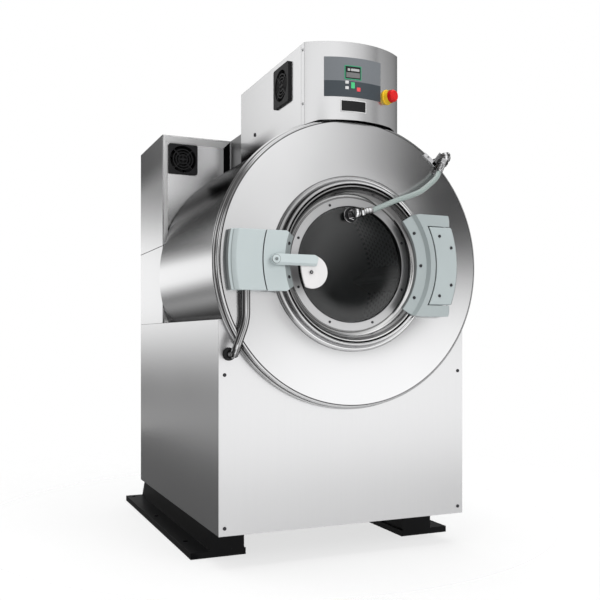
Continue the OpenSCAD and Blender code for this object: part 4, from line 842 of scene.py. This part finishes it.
def screw(maker, seat, outward, radius, cross=True):
    """A pan head with a cross or hexagon recess, at a seat and along its outward direction."""
    outline = [(radius * 0.96, -0.0004), (radius, radius * 0.14)] + [
        (radius * r, radius * h) for r, h in ((0.97, 0.28), (0.86, 0.42), (0.68, 0.52), (0.52, 0.56))]
    body = len(outline)
    outline += [(radius * 0.46, radius * 0.54), (radius * 0.40, radius * 0.22), (0.0, radius * 0.16)]

    def recess(k, a):
        if k < body:
            return 1.0
        return 0.35 + 0.65 * abs(math.cos(2 * a)) ** 3 if cross else six_flats(k, a)
    turn_on(maker, outline, seat, outward, 48, False, recess)


def rebevelled(node, radius, segments):
    """A copy of a node's mesh with its flat faces made whole and its sharp edges rounded."""
    maker = bmesh.new()
    maker.from_mesh(NODES[node].data)
    bmesh.ops.remove_doubles(maker, verts=maker.verts, dist=1e-6)
    bmesh.ops.dissolve_limit(maker, angle_limit=math.radians(0.8), verts=maker.verts, edges=maker.edges,
                             use_dissolve_boundaries=False)
    edges = [e for e in maker.edges if len(e.link_faces) == 2 and e.calc_face_angle(0.0) > math.radians(28.0)]
    bmesh.ops.bevel(maker, geom=edges, offset=radius, segments=segments, profile=0.5, affect="EDGES",
                    clamp_overlap=True, offset_type="OFFSET")
    return maker


def dress(node, radius, segments, finish=None):
    """Stands a copy with rounded edges in for a node."""
    return finish_mesh(node + "_skin", rebevelled(node, radius, segments), finish or SLOT_OF[node], node)


# Operators, one for each group of pieces


def card(name, corners, level):
    """A flat card of the stage that shows in reflections only, as a studio's white and black boards do."""
    material = bpy.data.materials.new(name)
    material.use_nodes = True
    tree = material.node_tree
    tree.nodes.clear()
    light = add(tree, "Emission", {"Strength": level(tree) if callable(level) else level})
    tree.links.new(light.outputs[0], add(tree, "OutputMaterial").inputs["Surface"])
    data = bpy.data.meshes.new(name)
    data.from_pydata(corners, [], [tuple(range(len(corners)))])
    data.materials.append(material)
    board = bpy.data.objects.new(name, data)
    bpy.context.scene.collection.objects.link(board)
    for ray in ("camera", "diffuse", "transmission", "volume_scatter", "shadow"):
        setattr(board, "visible_" + ray, False)


def board_level(tree):
    """The board before the machine: on either hand a fan of greys that the dished plate mirrors, white below and
    grey above."""
    x, _, z = place(tree)
    across, up = abs(x) - 0.77, z - 1.137
    radius = hypot(across, up)
    inside, outside = radius.step(0.20, 0.28), radius.step(0.58, 0.80)
    fan = (up.maths("ARCTAN2", across) / math.tau + 0.5).ramp((
        (0.0, 0.85), (0.03, 0.75), (0.06, 0.85), (0.10, 1.3), (0.16, 1.55), (0.25, 1.6), (0.38, 1.6), (0.43, 1.35),
        (0.475, 0.9), (0.515, 0.15), (0.55, 0.01), (0.66, 0.0), (0.71, 0.10), (0.75, 0.75), (0.83, 1.55),
        (0.90, 1.25), (1.0, 0.82)))
    fan = fan * inside + (up - across).step(-0.10, 0.40) * 1.6 * (1.0 - inside)
    high = z.step(0.7, 1.5)
    field = (1.2 - x.maths("MAXIMUM", -0.2) * 0.40) * high + (1.0 - high) * 1.5
    dimmer = (-x).step(0.0, 0.8) * (0.34 - z.step(1.2, 1.7) * 0.34)
    return (field * outside + fan * (1.0 - outside)) * (1.0 - dimmer)


class WASHER_OT_stage(bpy.types.Operator):
    """Place the floor, the soft lights and the camera"""
    bl_idname = "washer.stage"
    bl_label = "Stage"

    def execute(self, context):
        settings = context.scene.washer_stage
        self.lay_floor(settings.backdrop)
        self.hang_lamps(settings)
        half, front, foot, top = 2.3, -2.3, 0.02, 2.9
        card("front_board", [(-half, front, foot), (half, front, foot), (half, front, top), (-half, front, top)],
             board_level)
        for name, left, right, near, far, level in (("floor_board", -1.25, -0.47, -0.9, 3.2, 0.12),
                                                    ("left_board", -3.4, -0.8, -3.6, -0.9, 0.30)):
            card(name, [(x, y, BOARD_HEIGHT) for x, y in ((left, near), (right, near), (right, far), (left, far))],
                 level)
        context.scene.world = self.studio_sky()
        context.scene.view_settings.view_transform = "Standard"
        context.scene.camera = self.camera()
        return {"FINISHED"}

    @staticmethod
    def camera():
        """A camera at the photograph's place, level, and turned towards the machine."""
        eye = bpy.data.cameras.new("camera")
        eye.lens = CAMERA_LENS
        eye.sensor_width = 36.0
        eye.shift_y = CAMERA_SHIFT
        camera = bpy.data.objects.new("camera", eye)
        camera.location = CAMERA_PLACE
        camera.rotation_euler = (math.radians(90), 0, math.radians(CAMERA_TURN))
        bpy.context.scene.collection.objects.link(camera)
        return camera

    @staticmethod
    def lay_floor(colour):
        """A round sheet of paper that fades into the white of the sky away from the machine."""
        maker = bmesh.new()
        bmesh.ops.create_circle(maker, cap_ends=True, segments=96, radius=FLOOR_RADIUS)
        data = bpy.data.meshes.new("floor")
        maker.to_mesh(data)
        maker.free()
        floor = bpy.data.objects.new("floor", data)
        bpy.context.scene.collection.objects.link(floor)
        paper, tree, shader = new_finish("paper", colour, 0.8, Specular_IOR_Level=0.2)
        feed(shader, Base_Color=shades(noise(tree, 0.7), colour, 0.99, 1.01))
        distance = Level(add(tree, "VectorMath", {0: part_point(tree)}, operation="LENGTH").outputs["Value"])
        faded = add(tree, "MixShader", {0: distance.step(0.9, 2.2).spread(0.7, 1.0), 1: shader.outputs[0],
                                        2: add(tree, "BsdfTransparent").outputs[0]})
        tree.links.new(faded.outputs[0], tree.nodes["Material Output"].inputs["Surface"])
        data.materials.append(paper)

    @staticmethod
    def hang_lamps(settings):
        """Four softboxes, which the metal doesn't mirror: it mirrors the boards and the sky."""
        centre = Vector((0, -0.15, 0.95))
        for name, spot, size, power in (
                ("key_softbox", (1.4, -4.4, 3.0), (1.8, 2.0), settings.key_power),
                ("fill_softbox", (-2.6, -4.2, 1.6), (1.6, 2.2), settings.fill_power),
                ("top_softbox", (0.0, -0.5, 4.4), (3.6, 3.6), settings.top_power),
                ("back_softbox", (0.5, 4.2, 2.6), (3.0, 2.4), settings.back_power)):
            lamp = bpy.data.lights.new(name, "AREA")
            lamp.shape = "RECTANGLE"
            lamp.size, lamp.size_y = size
            lamp.energy = power
            holder = bpy.data.objects.new(name, lamp)
            holder.location = spot
            holder.rotation_euler = (centre - Vector(spot)).to_track_quat("-Z", "Y").to_euler()
            holder.visible_glossy = False
            bpy.context.scene.collection.objects.link(holder)

    @staticmethod
    def studio_sky():
        """A studio sky by height, unlike before and behind the machine; the camera sees plain white."""
        world = bpy.data.worlds.new("studio")
        world.use_nodes = True
        tree = world.node_tree
        tree.nodes.clear()
        right, away, up = coordinates(tree, "Generated")
        height = up.share(-0.5, 1.0)
        before = height.ramp(((0.0, 0.9), (0.32, 1.2), (0.42, 1.35), (0.54, 1.3), (0.60, 0.8), (0.68, 0.25),
                              (0.82, 0.3), (1.0, 1.3)))
        behind = height.ramp(((0.0, 1.0), (0.10, 0.75), (0.17, 0.12), (0.20, 0.04), (0.23, 0.22), (0.262, 0.48),
                              (0.297, 0.18), (0.322, 0.7), (0.345, 1.3), (0.405, 1.3), (0.43, 0.6), (0.46, 0.08),
                              (0.53, 0.02), (0.62, 0.10), (0.72, 0.9), (1.0, 1.2)))
        levels = mixed(away.step(0.0, 0.5), before, behind)
        # A lit patch behind on the left, which the control box's side mirrors
        patch = (-right).step(0.25, 0.31) * (up.step(0.15, 0.25) * away.step(0.4, 0.7))
        levels = mixed(patch, levels, (1.4, 1.4, 1.4))
        # Dark to the far left and dimmer to the right
        shade = 1.0 - (-right).step(0.72, 0.97) * 0.88 - right.step(0.1, 1.0) * 0.52
        seen = add(tree, "Background", {"Color": (1, 1, 1, 1), "Strength": 1.0}).outputs[0]
        lit = add(tree, "Background", {"Color": levels, "Strength": shade}).outputs[0]
        straight = add(tree, "LightPath").outputs["Is Camera Ray"]
        mix = add(tree, "MixShader", {0: straight, 1: lit, 2: seen}).outputs[0]
        tree.links.new(mix, add(tree, "OutputWorld").inputs["Surface"])
        return world


class WASHER_OT_hose(bpy.types.Operator):
    """Sweep the braided spray hose from the pipe's ferrule to the door's nozzle"""
    bl_idname = "washer.hose"
    bl_label = "Spray hose"

    def execute(self, context):
        path = smooth_path([Vector(p) for p in HOSE_ROUTE], 6)
        piece = tube("spray_hose_braid", path, HOSE_RADIUS, 20, "hose_plastic", "spray_hose", rides=False)
        length = sum((b - a).length for a, b in zip(path, path[1:]))
        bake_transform(piece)
        return {"FINISHED"}


class WASHER_OT_rest(bpy.types.Operator):
    """Give every node that still shows its own finish"""
    bl_idname = "washer.rest"
    bl_label = "Other pieces"

    def execute(self, context):
        for node, obj in NODES.items():
            coat(obj, "shell_sheet" if node == "shell" else SLOT_OF[node])
            obj.data.polygons.foreach_set("use_smooth", [True] * len(obj.data.polygons))
        return {"FINISHED"}


class WASHER_OT_cabinet(bpy.types.Operator):
    """Dress the sheets of the cabinet and the rear boxes"""
    bl_idname = "washer.cabinet"
    bl_label = "Cabinet sheets"

    def execute(self, context):
        for node, finish in (("front_panel", "brushed_panel"), ("side_panel_left", "side_sheet"),
                             ("side_panel_right", "side_sheet"), ("rear_wrap", "box_sheet"),
                             ("rear_hood", "hood_sheet"), ("control_box", "control_sheet")):
            dress(node, FOLD, 2, finish)
        for node, outward in (("box_front_left", -1), ("box_front_right", 1)):
            dress(node, FOLD, 2, "box_sheet")
            # The lips take a painted highlight, and the lip next to the middle a painted shadow
            for word, finish, inner in (("lips", "lip_enamel", False), ("inner_lip", "seam_shadow", True)):
                self.overlay(node, word, finish,
                             lambda facing: -0.97 < facing.y < 0.2 and (facing.x * outward > 0.3) == inner)
        # The centre housing in a darker copy of the steel: painted shade
        dress("centre_housing", FOLD, 2, "dim_sheet")
        self.control_front()
        self.seam()
        dress("service_cover", context.scene.washer_sizes.cover_edge, 3, "box_sheet")
        dress("back_panel", 0.0006, 2, "brushed_panel")
        return {"FINISHED"}

    @staticmethod
    def overlay(node, word, finish, chosen):
        """A skin over those faces of a node whose direction is chosen, for a finish of their own."""
        maker = rebevelled(node, FOLD, 2)
        maker.normal_update()
        bmesh.ops.delete(maker, geom=[face for face in maker.faces if not chosen(face.normal)], context="FACES")
        maker.normal_update()
        for vert in maker.verts:
            vert.co += vert.normal * SKIN
        finish_mesh(node + "_" + word, maker, finish, node, stands_for=[])

    @staticmethod
    def control_front():
        """The bulged front, whose lower lip hangs before the rim where it stands proud of it."""
        maker = rebevelled("control_front", FOLD, 2)
        rim_r = width_of("rim_ring") / 2
        rim_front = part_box("front_plate")[0].y
        for vert in maker.verts:
            x = vert.co.x - AXIS.x
            if math.hypot(x, vert.co.z - AXIS.z) < rim_r + 0.006:
                lip_r = rim_r - LIP_SINK - LIP_SLOPE * max(0.0, rim_front - vert.co.y)
                vert.co.z -= math.sqrt((rim_r + 0.002) ** 2 - x * x) - math.sqrt(lip_r ** 2 - x * x)
        finish_mesh("control_front_skin", maker, "bulged_sheet", "control_front")

    @staticmethod
    def seam():
        """A strip of painted shadow in the joint between the lower and the upper rear casing."""
        low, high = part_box("rear_hood")
        proud, half = 0.0004, 0.0011
        left, right, back = low.x - proud, high.x + proud, high.y + proud
        corners = [(left, low.y), (left, back), (right, back), (right, low.y)]
        maker = bmesh.new()
        for (x0, y0), (x1, y1) in zip(corners, corners[1:]):
            maker.faces.new([maker.verts.new(p) for p in ((x0, y0, low.z - half), (x1, y1, low.z - half),
                                                          (x1, y1, low.z + half), (x0, y0, low.z + half))])
        finish_mesh("casing_seam", maker, "seam_shadow", "rear_hood", stands_for=[])


class WASHER_OT_rails(bpy.types.Operator):
    """Dress the floor rails"""
    bl_idname = "washer.rails"
    bl_label = "Rails"

    def execute(self, context):
        for node in ("rail_left", "rail_right"):
            dress(node, 0.002, 3)
        return {"FINISHED"}


class WASHER_OT_tub(bpy.types.Operator):
    """Turn the shell's front: front plate, rim beads and trim ring"""
    bl_idname = "washer.tub"
    bl_label = "Tub front"

    def execute(self, context):
        turns = context.scene.washer_sizes.turns
        face_r, face_proud = width_of("front_plate") / 2, proud_of("front_plate")
        trim_r = width_of("door_trim_ring") / 2
        inner_proud, thick = face_proud - 0.014, 0.003
        plate = softened([(trim_r + SEAT_GAP, inner_proud), (face_r, face_proud, 0.0016),
                          (face_r, face_proud - thick, 0.0008), (trim_r + SEAT_GAP, inner_proud - thick)])
        finish_mesh("front_plate_skin", lathe(plate, turns), "spun_plate", "front_plate")

        # The rim: a rear bead, a groove and a front bead that tucks under the plate's edge
        bead = 0.009
        rim_r, rim_proud = width_of("rim_ring") / 2, proud_of("rim_ring")
        wall = face_r + SEAT_GAP
        rim = [(wall, 0.006), *arc(rim_r - bead, 0.014, bead, -100, 78, 16), (wall + 0.0052, 0.0246),
               (wall + 0.0044, 0.0268), (wall + 0.0050, 0.0300), *arc(face_r, rim_proud - bead, bead, -52, 86, 14)]
        finish_mesh("rim_ring_skin", lathe(rim, turns), "rim_steel", "rim_ring")

        # The trim ring: lip, groove, outer bead and the collar that carries the seal
        lip_r, bead_r = 0.005, 0.010
        proud = proud_of("door_trim_ring")
        bore = trim_r - 0.030
        collar = bore + 0.004
        trim = [(bore - 0.026, -0.008), (bore, -0.008), *arc(bore + lip_r, proud - lip_r, lip_r, 180, -40, 14),
                (bore + 0.0098, proud - 0.0145), (bore + 0.0100, proud - 0.0170),
                *arc(trim_r - bead_r, proud - 0.024, bead_r, 158, -32, 16), (collar + 0.006, inner_proud - 0.004),
                (collar, inner_proud - 0.008), (collar, -0.012), (bore - 0.026, -0.012)]
        finish_mesh("door_trim_skin", lathe(trim, turns), "turned_trim", "door_trim_ring")
        return {"FINISHED"}


class WASHER_OT_door(bpy.types.Operator):
    """Turn the door's dish, its ring and gasket, and seat the screws"""
    bl_idname = "washer.door"
    bl_label = "Door"

    def execute(self, context):
        turns = context.scene.washer_sizes.turns
        door_r, ring_r = width_of("door_frame") / 2, width_of("retaining_ring") / 2
        bore = ring_r - 0.027
        glass_r, glass_proud = width_of("door_glass") / 2, proud_of("door_glass")
        lip_proud = proud_of("door_frame")
        back = PANEL_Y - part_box("door_frame")[1].y
        foot, lip = ring_r + 0.002, door_r - 0.0055
        seat = glass_proud - 0.0083
        dish = [(bore - 0.005, back + 0.002), (bore - 0.005, seat), (glass_r + SEAT_GAP, seat),
                (glass_r + SEAT_GAP, glass_proud)]
        for a in (math.pi / 2 * k / 28 for k in range(29)):
            dish.append((foot + (lip - foot) * math.sin(a),
                         glass_proud + (lip_proud - 0.001 - glass_proud) * (1 - math.cos(a))))
        dish += [*arc(door_r - 0.003, lip_proud - 0.003, 0.003, 120, -20, 10), (door_r - 0.0012, lip_proud - 0.012),
                 (door_r - 0.006, back + 0.003), (door_r - 0.008, back), (door_r - 0.022, back),
                 (door_r - 0.024, back + 0.002)]
        finish_mesh("door_dish", lathe(dish, turns), "door_dish", "door_frame")

        face = proud_of("retaining_ring")
        ring = softened([(bore, glass_proud), (bore, face, 0.0012), (ring_r, face, 0.0014),
                         (ring_r, glass_proud)], 4)
        finish_mesh("glass_ring", lathe(ring, turns), "brushed_ring", "retaining_ring")
        gasket = softened([(bore - 0.0022, glass_proud + 0.0001), (bore - 0.0022, face - 0.0012, 0.001),
                           (bore - 0.0001, face - 0.0008, 0.0004), (bore - 0.0001, glass_proud + 0.0001)], 3)
        finish_mesh("glass_gasket", lathe(gasket, turns), "black_rubber", "door_seal", stands_for=[], body="door")

        maker = bmesh.new()
        for seat, outward, radius in islands("door_screws"):
            screw(maker, seat, outward, radius, radius < 0.005)
        finish_mesh("door_screw_heads", maker, "dark_screw", "door_screws")
        return {"FINISHED"}


class WASHER_OT_plumbing(bpy.types.Operator):
    """Build the water pipe, its fittings, the door's nozzle and the lock's conduit"""
    bl_idname = "washer.plumbing"
    bl_label = "Pipe, nozzle and conduit"

    def execute(self, context):
        self.pipe(Vector(HOSE_ROUTE[0]))
        self.nozzle(Vector(HOSE_ROUTE[-1]))
        self.conduit()
        return {"FINISHED"}

    def pipe(self, hose_start):
        """The pipe with its elbow, nuts and clamp, and the ferrule that holds the hose."""
        pipe_r, strap_thick = 0.011, 0.004
        reach = width_of("rim_ring") / 2 + PIPE_GAP
        face_r = width_of("front_plate") / 2
        elbow = at_angle(reach, PIPE_ANGLE, PIPE_PROUD)
        lean = (hose_start - elbow).normalized()
        crimp = hose_start - lean * 0.034
        outward = (elbow - Vector((AXIS.x, elbow.y, AXIS.z))).normalized()
        maker = bmesh.new()
        plain_rod(maker, elbow, Vector((elbow.x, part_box("water_pipe")[1].y, elbow.z)), pipe_r, 0.0015, 48)
        ball(maker, elbow, pipe_r + 0.008)
        for foot, along, over, height in (
                (elbow - FORWARD * 0.013, -FORWARD, 0.007, 0.012), (elbow - FORWARD * 0.027, -FORWARD, 0.0055, 0.009),
                (elbow + lean * 0.014, lean, 0.0065, 0.010), (crimp - lean * 0.012, lean, 0.005, 0.011)):
            nut(maker, foot, along, pipe_r + over, height)
        plain_rod(maker, elbow, crimp, pipe_r + 0.0005)
        ferrule(maker, crimp, hose_start - lean * 0.0004, FERRULE_RADIUS)
        plain_rod(maker, elbow, elbow + outward * (pipe_r + 0.0105), 0.0085)
        clamp = bmesh.new()
        for made, outer, start, end in ((clamp, face_r + 0.004, 1.0, 8.0), (maker, reach, -2.0, 3.0)):
            self.strap(made, face_r - 0.010, outer, PIPE_ANGLE + start, PIPE_ANGLE + end, strap_thick)
        finish_mesh("water_pipe_clamp", clamp, "clamp_plate", "water_pipe", 40, stands_for=[])
        screw(maker, at_angle(face_r - 0.002, PIPE_ANGLE + 6.0, PIPE_PROUD), FORWARD, 0.004)
        finish_mesh("water_pipe_chrome", maker, "chrome", "water_pipe", 40)

    @staticmethod
    def nozzle(hose_end):
        """The nozzle through the glass, with a pad under its flange."""
        axis = Vector((0.0, PANEL_Y, AXIS.z + NOZZLE_RISE))
        seat = axis + FORWARD * proud_of("door_glass")
        bend_at = axis + FORWARD * 0.062
        lean = (hose_end - bend_at).normalized()
        maker = bmesh.new()
        turn_on(maker, arc(0.0248, 0.0012, 0.0012, 0, 330, 12), seat, FORWARD, 64)
        nut(maker, seat + FORWARD * 0.0046, FORWARD, 0.019, 0.0095)
        plain_rod(maker, axis + FORWARD * 0.005, bend_at, FERRULE_RADIUS)
        nut(maker, seat - FORWARD * 0.008, -FORWARD, 0.018, 0.007)
        ball(maker, bend_at, 0.0165)
        nut(maker, bend_at + lean * 0.014, lean, 0.016, 0.010)
        ferrule(maker, bend_at + lean * 0.024, hose_end - lean * 0.0004, FERRULE_RADIUS, 3)
        plain_rod(maker, bend_at, bend_at + lean * 0.026, 0.0105)
        finish_mesh("nozzle_chrome", maker, "chrome", "spray_nozzle", 40)
        pad = [(0.0, 0.0), (0.0238, 0.0), (0.0238, 0.003, 0.0012), (0.020, 0.0046, 0.001),
               (0.0, 0.0046)]
        turned("nozzle_pad", pad, seat, "black_rubber", "spray_nozzle", 64)

    @staticmethod
    def conduit():
        """The lock's conduit, and the boot where it enters the front panel."""
        low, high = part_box("lock_conduit")
        radius = 0.013
        out_y, entry_z = low.y + radius, low.z + radius
        inner_x, outer_x = high.x - radius, low.x + radius
        corners = [Vector((inner_x, out_y, high.z)), Vector((inner_x, out_y, high.z - 0.106)),
                   Vector((outer_x, out_y, entry_z + 0.012)), Vector((outer_x, out_y + 0.014, entry_z)),
                   Vector((outer_x, high.y, entry_z))]
        tube("conduit_tube", eased(corners, (0.030, 0.020, 0.012), 16), radius, 96, "bright_tube", "lock_conduit")
        boot_r = width_of("conduit_boot") / 2
        boot = softened([
            (radius + 0.0001, 0.0), (boot_r, 0.0), (boot_r, 0.005, 0.003), (boot_r - 0.004, 0.0075, 0.001),
            (boot_r - 0.001, 0.010, 0.002), (radius + 0.004, 0.021, 0.003), (radius + 0.0025, 0.024, 0.001),
            (radius + 0.0001, 0.024)], 4)
        maker = turn_on(bmesh.new(), boot, Vector((outer_x, PANEL_Y, entry_z)), FORWARD, 96)
        finish_mesh("conduit_boot_skin", maker, "black_rubber", "conduit_boot")

    @staticmethod
    def strap(maker, inner, outer, start, end, thick):
        """A flat plate about the axis, between two radii and two angles in degrees, level with the elbow's middle."""
        steps = 6
        angles = [start + (end - start) * k / steps for k in range(steps + 1)]
        around = [(inner, a) for a in angles] + [(outer, a) for a in reversed(angles)]
        rear, face = ([maker.verts.new(at_angle(r, a, proud)) for r, a in around]
                      for proud in (PIPE_PROUD - thick, PIPE_PROUD))
        made = [maker.faces.new(rear), maker.faces.new(list(reversed(face)))]
        for k in range(len(around)):
            n = (k + 1) % len(around)
            made.append(maker.faces.new((rear[k], rear[n], face[n], face[k])))
        bmesh.ops.recalc_face_normals(maker, faces=made)
        bmesh.ops.bevel(maker, geom=list(made[1].edges), offset=0.001, segments=2, profile=0.5, affect="EDGES")


class WASHER_OT_castings(bpy.types.Operator):
    """Round the hinge, lock and latch castings"""
    bl_idname = "washer.castings"
    bl_label = "Castings"

    def execute(self, context):
        edge = context.scene.washer_sizes.casting_edge
        # The hinge's arm and block take darker copies of the paint: painted shade
        for node, radius, finish in (("hinge_arm", edge, "arm_paint"), ("hinge_block", edge, "block_paint"),
                                     ("lock_housing", edge, None), ("latch_ear", edge, None),
                                     ("handle_lever", 0.003, None), ("handle_paddle", 0.002, None)):
            dress(node, radius, 4, finish)
        low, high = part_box("handle_paddle")
        middle = Vector(((low.x + high.x) / 2 - 0.0115, low.y + 0.0004, low.z + 0.052))
        maker = bmesh.new()
        screw(maker, middle, FORWARD, 0.006)
        finish_mesh("paddle_screw", maker, "dark_screw", "handle_paddle", stands_for=[])
        plug = [(0.0, 0.0006), (0.0026, 0.0006), (0.0026, 0.0030, 0.0008), (0.0, 0.0030)]
        turned("paddle_plug", plug, middle, "paddle_plastic", "handle_paddle", 32)
        pivot = Vector(JOINTS["handle_turn"]["pos_m"])
        pivot.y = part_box("handle_lever")[0].y + 0.0006
        boss = [(0.0, 0.0), (0.0135, 0.0), (0.0135, 0.0022, 0.0012), (0.0075, 0.0026, 0.0006),
                (0.0070, 0.0038, 0.0006), (0.0, 0.0038)]
        turned("lever_boss", boss, pivot, "lever_paint", "handle_lever", 48)
        # A ring and a screw in a darker copy of the paint: painted shadow in the groove round the boss
        maker = bmesh.new()
        turn_on(maker, arc(0.0133, 0.0010, 0.0013, 0, 330, 12), pivot, FORWARD, 48)
        screw(maker, pivot + FORWARD * 0.0038, FORWARD, 0.0052)
        finish_mesh("lever_boss_ring", maker, "groove_paint", "handle_lever", stands_for=[])
        return {"FINISHED"}


class WASHER_OT_controls(bpy.types.Operator):
    """Shape the keypad, plates, emergency stop, vents and the screws of the casings"""
    bl_idname = "washer.controls"
    bl_label = "Controls"

    def execute(self, context):
        for nodes, radius, segments in ((("keypad_panel", "display_window", "name_plate"), 0.0005, 2),
                                        (("key_up", "key_down", "key_start", "key_stop"), 0.0006, 3),
                                        (("fan_guards", "fan_frames"), 0.0007, 2)):
            for node in nodes:
                dress(node, radius, segments)
        bright, dark = bmesh.new(), bmesh.new()
        low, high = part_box("control_box")
        for seat, outward, radius in islands("panel_screws"):
            screw(bright if seat.z > low.z else dark, seat, outward, radius)
        screw(dark, Vector((low.x, low.y + SIDE_SCREW[0], high.z - SIDE_SCREW[1])), (-1, 0, 0), 0.0075)
        finish_mesh("control_screw_heads", bright, "screw_steel", "panel_screws")
        finish_mesh("panel_screw_heads", dark, "dark_screw", "panel_screws")
        self.stop_button(Vector(JOINTS["stop_twist"]["pos_m"]), -Vector(JOINTS["stop_push"]["axis"]))
        return {"FINISHED"}

    @staticmethod
    def stop_button(seat, outward):
        """The emergency stop's yellow collar and its red head, with twelve grooves for the grip."""
        base_r, head_r, collar_r = 0.025, 0.020, 0.0225
        base = softened([(0.009, -0.0004), (base_r, -0.0004), (base_r, 0.004, 0.0015),
                         (collar_r, 0.0045, 0.0008), (collar_r - 0.001, STOP_COLLAR + 0.004, 0.0012),
                         (head_r + 0.0009, STOP_COLLAR + 0.004, 0.0006), (head_r + 0.0009, STOP_COLLAR - 0.007),
                         (0.009, STOP_COLLAR - 0.007)], 4)
        finish_mesh("stop_collar", turn_on(bmesh.new(), base, seat, outward, 96), "stop_yellow", "stop_base")
        foot = STOP_COLLAR + 0.001
        top = foot + STOP_HEAD
        head = softened([(0.0065, foot), (head_r - 0.0012, foot, 0.001), (head_r, foot + 0.003, 0.001),
                         (head_r, top - 0.006, 0.003), (head_r - 0.0045, top - 0.0004, 0.003),
                         (head_r - 0.008, top, 0.001), (head_r - 0.0105, top - 0.0012, 0.001),
                         (0.0, top - 0.0016)], 4)

        def grips(k, a):
            on_side = foot + 0.002 < head[k][1] < top - 0.003
            return 1.0 - (0.018 * max(0.0, math.cos(12 * a)) ** 2 if on_side else 0.0)
        finish_mesh("stop_mushroom", turn_on(bmesh.new(), head, seat, outward, 144, False, grips), "stop_red",
                    "stop_head")


OPERATORS = (WASHER_OT_stage, WASHER_OT_hose, WASHER_OT_rest, WASHER_OT_cabinet, WASHER_OT_rails, WASHER_OT_tub,
             WASHER_OT_door, WASHER_OT_plumbing, WASHER_OT_castings, WASHER_OT_controls)


class WASHER_PT_panel(bpy.types.Panel):
    """Lists the steps that build the machine"""
    bl_label = "Washer-extractor"
    bl_idname = "WASHER_PT_panel"
    bl_space_type = "VIEW_3D"
    bl_region_type = "UI"
    bl_category = "Washer"

    def draw(self, context):
        for step in OPERATORS:
            self.layout.operator(step.bl_idname)


CLASSES = (MachineSizes, FinishColours, StageSettings, *OPERATORS, WASHER_PT_panel)
SETTINGS = {"washer_sizes": MachineSizes, "washer_colours": FinishColours, "washer_stage": StageSettings}


def register():
    for cls in CLASSES:
        bpy.utils.register_class(cls)
    for name, group in SETTINGS.items():
        setattr(bpy.types.Scene, name, PointerProperty(type=group))


def unregister():
    for name in SETTINGS:
        delattr(bpy.types.Scene, name)
    for cls in reversed(CLASSES):
        bpy.utils.unregister_class(cls)


def main():
    register()
    scene = bpy.context.scene
    FINISHES.update(make_finishes(scene.washer_colours, scene.washer_sizes))
    for step in OPERATORS:
        group, name = step.bl_idname.split(".")
        getattr(getattr(bpy.ops, group), name)()


if __name__ == "__main__":
    main()
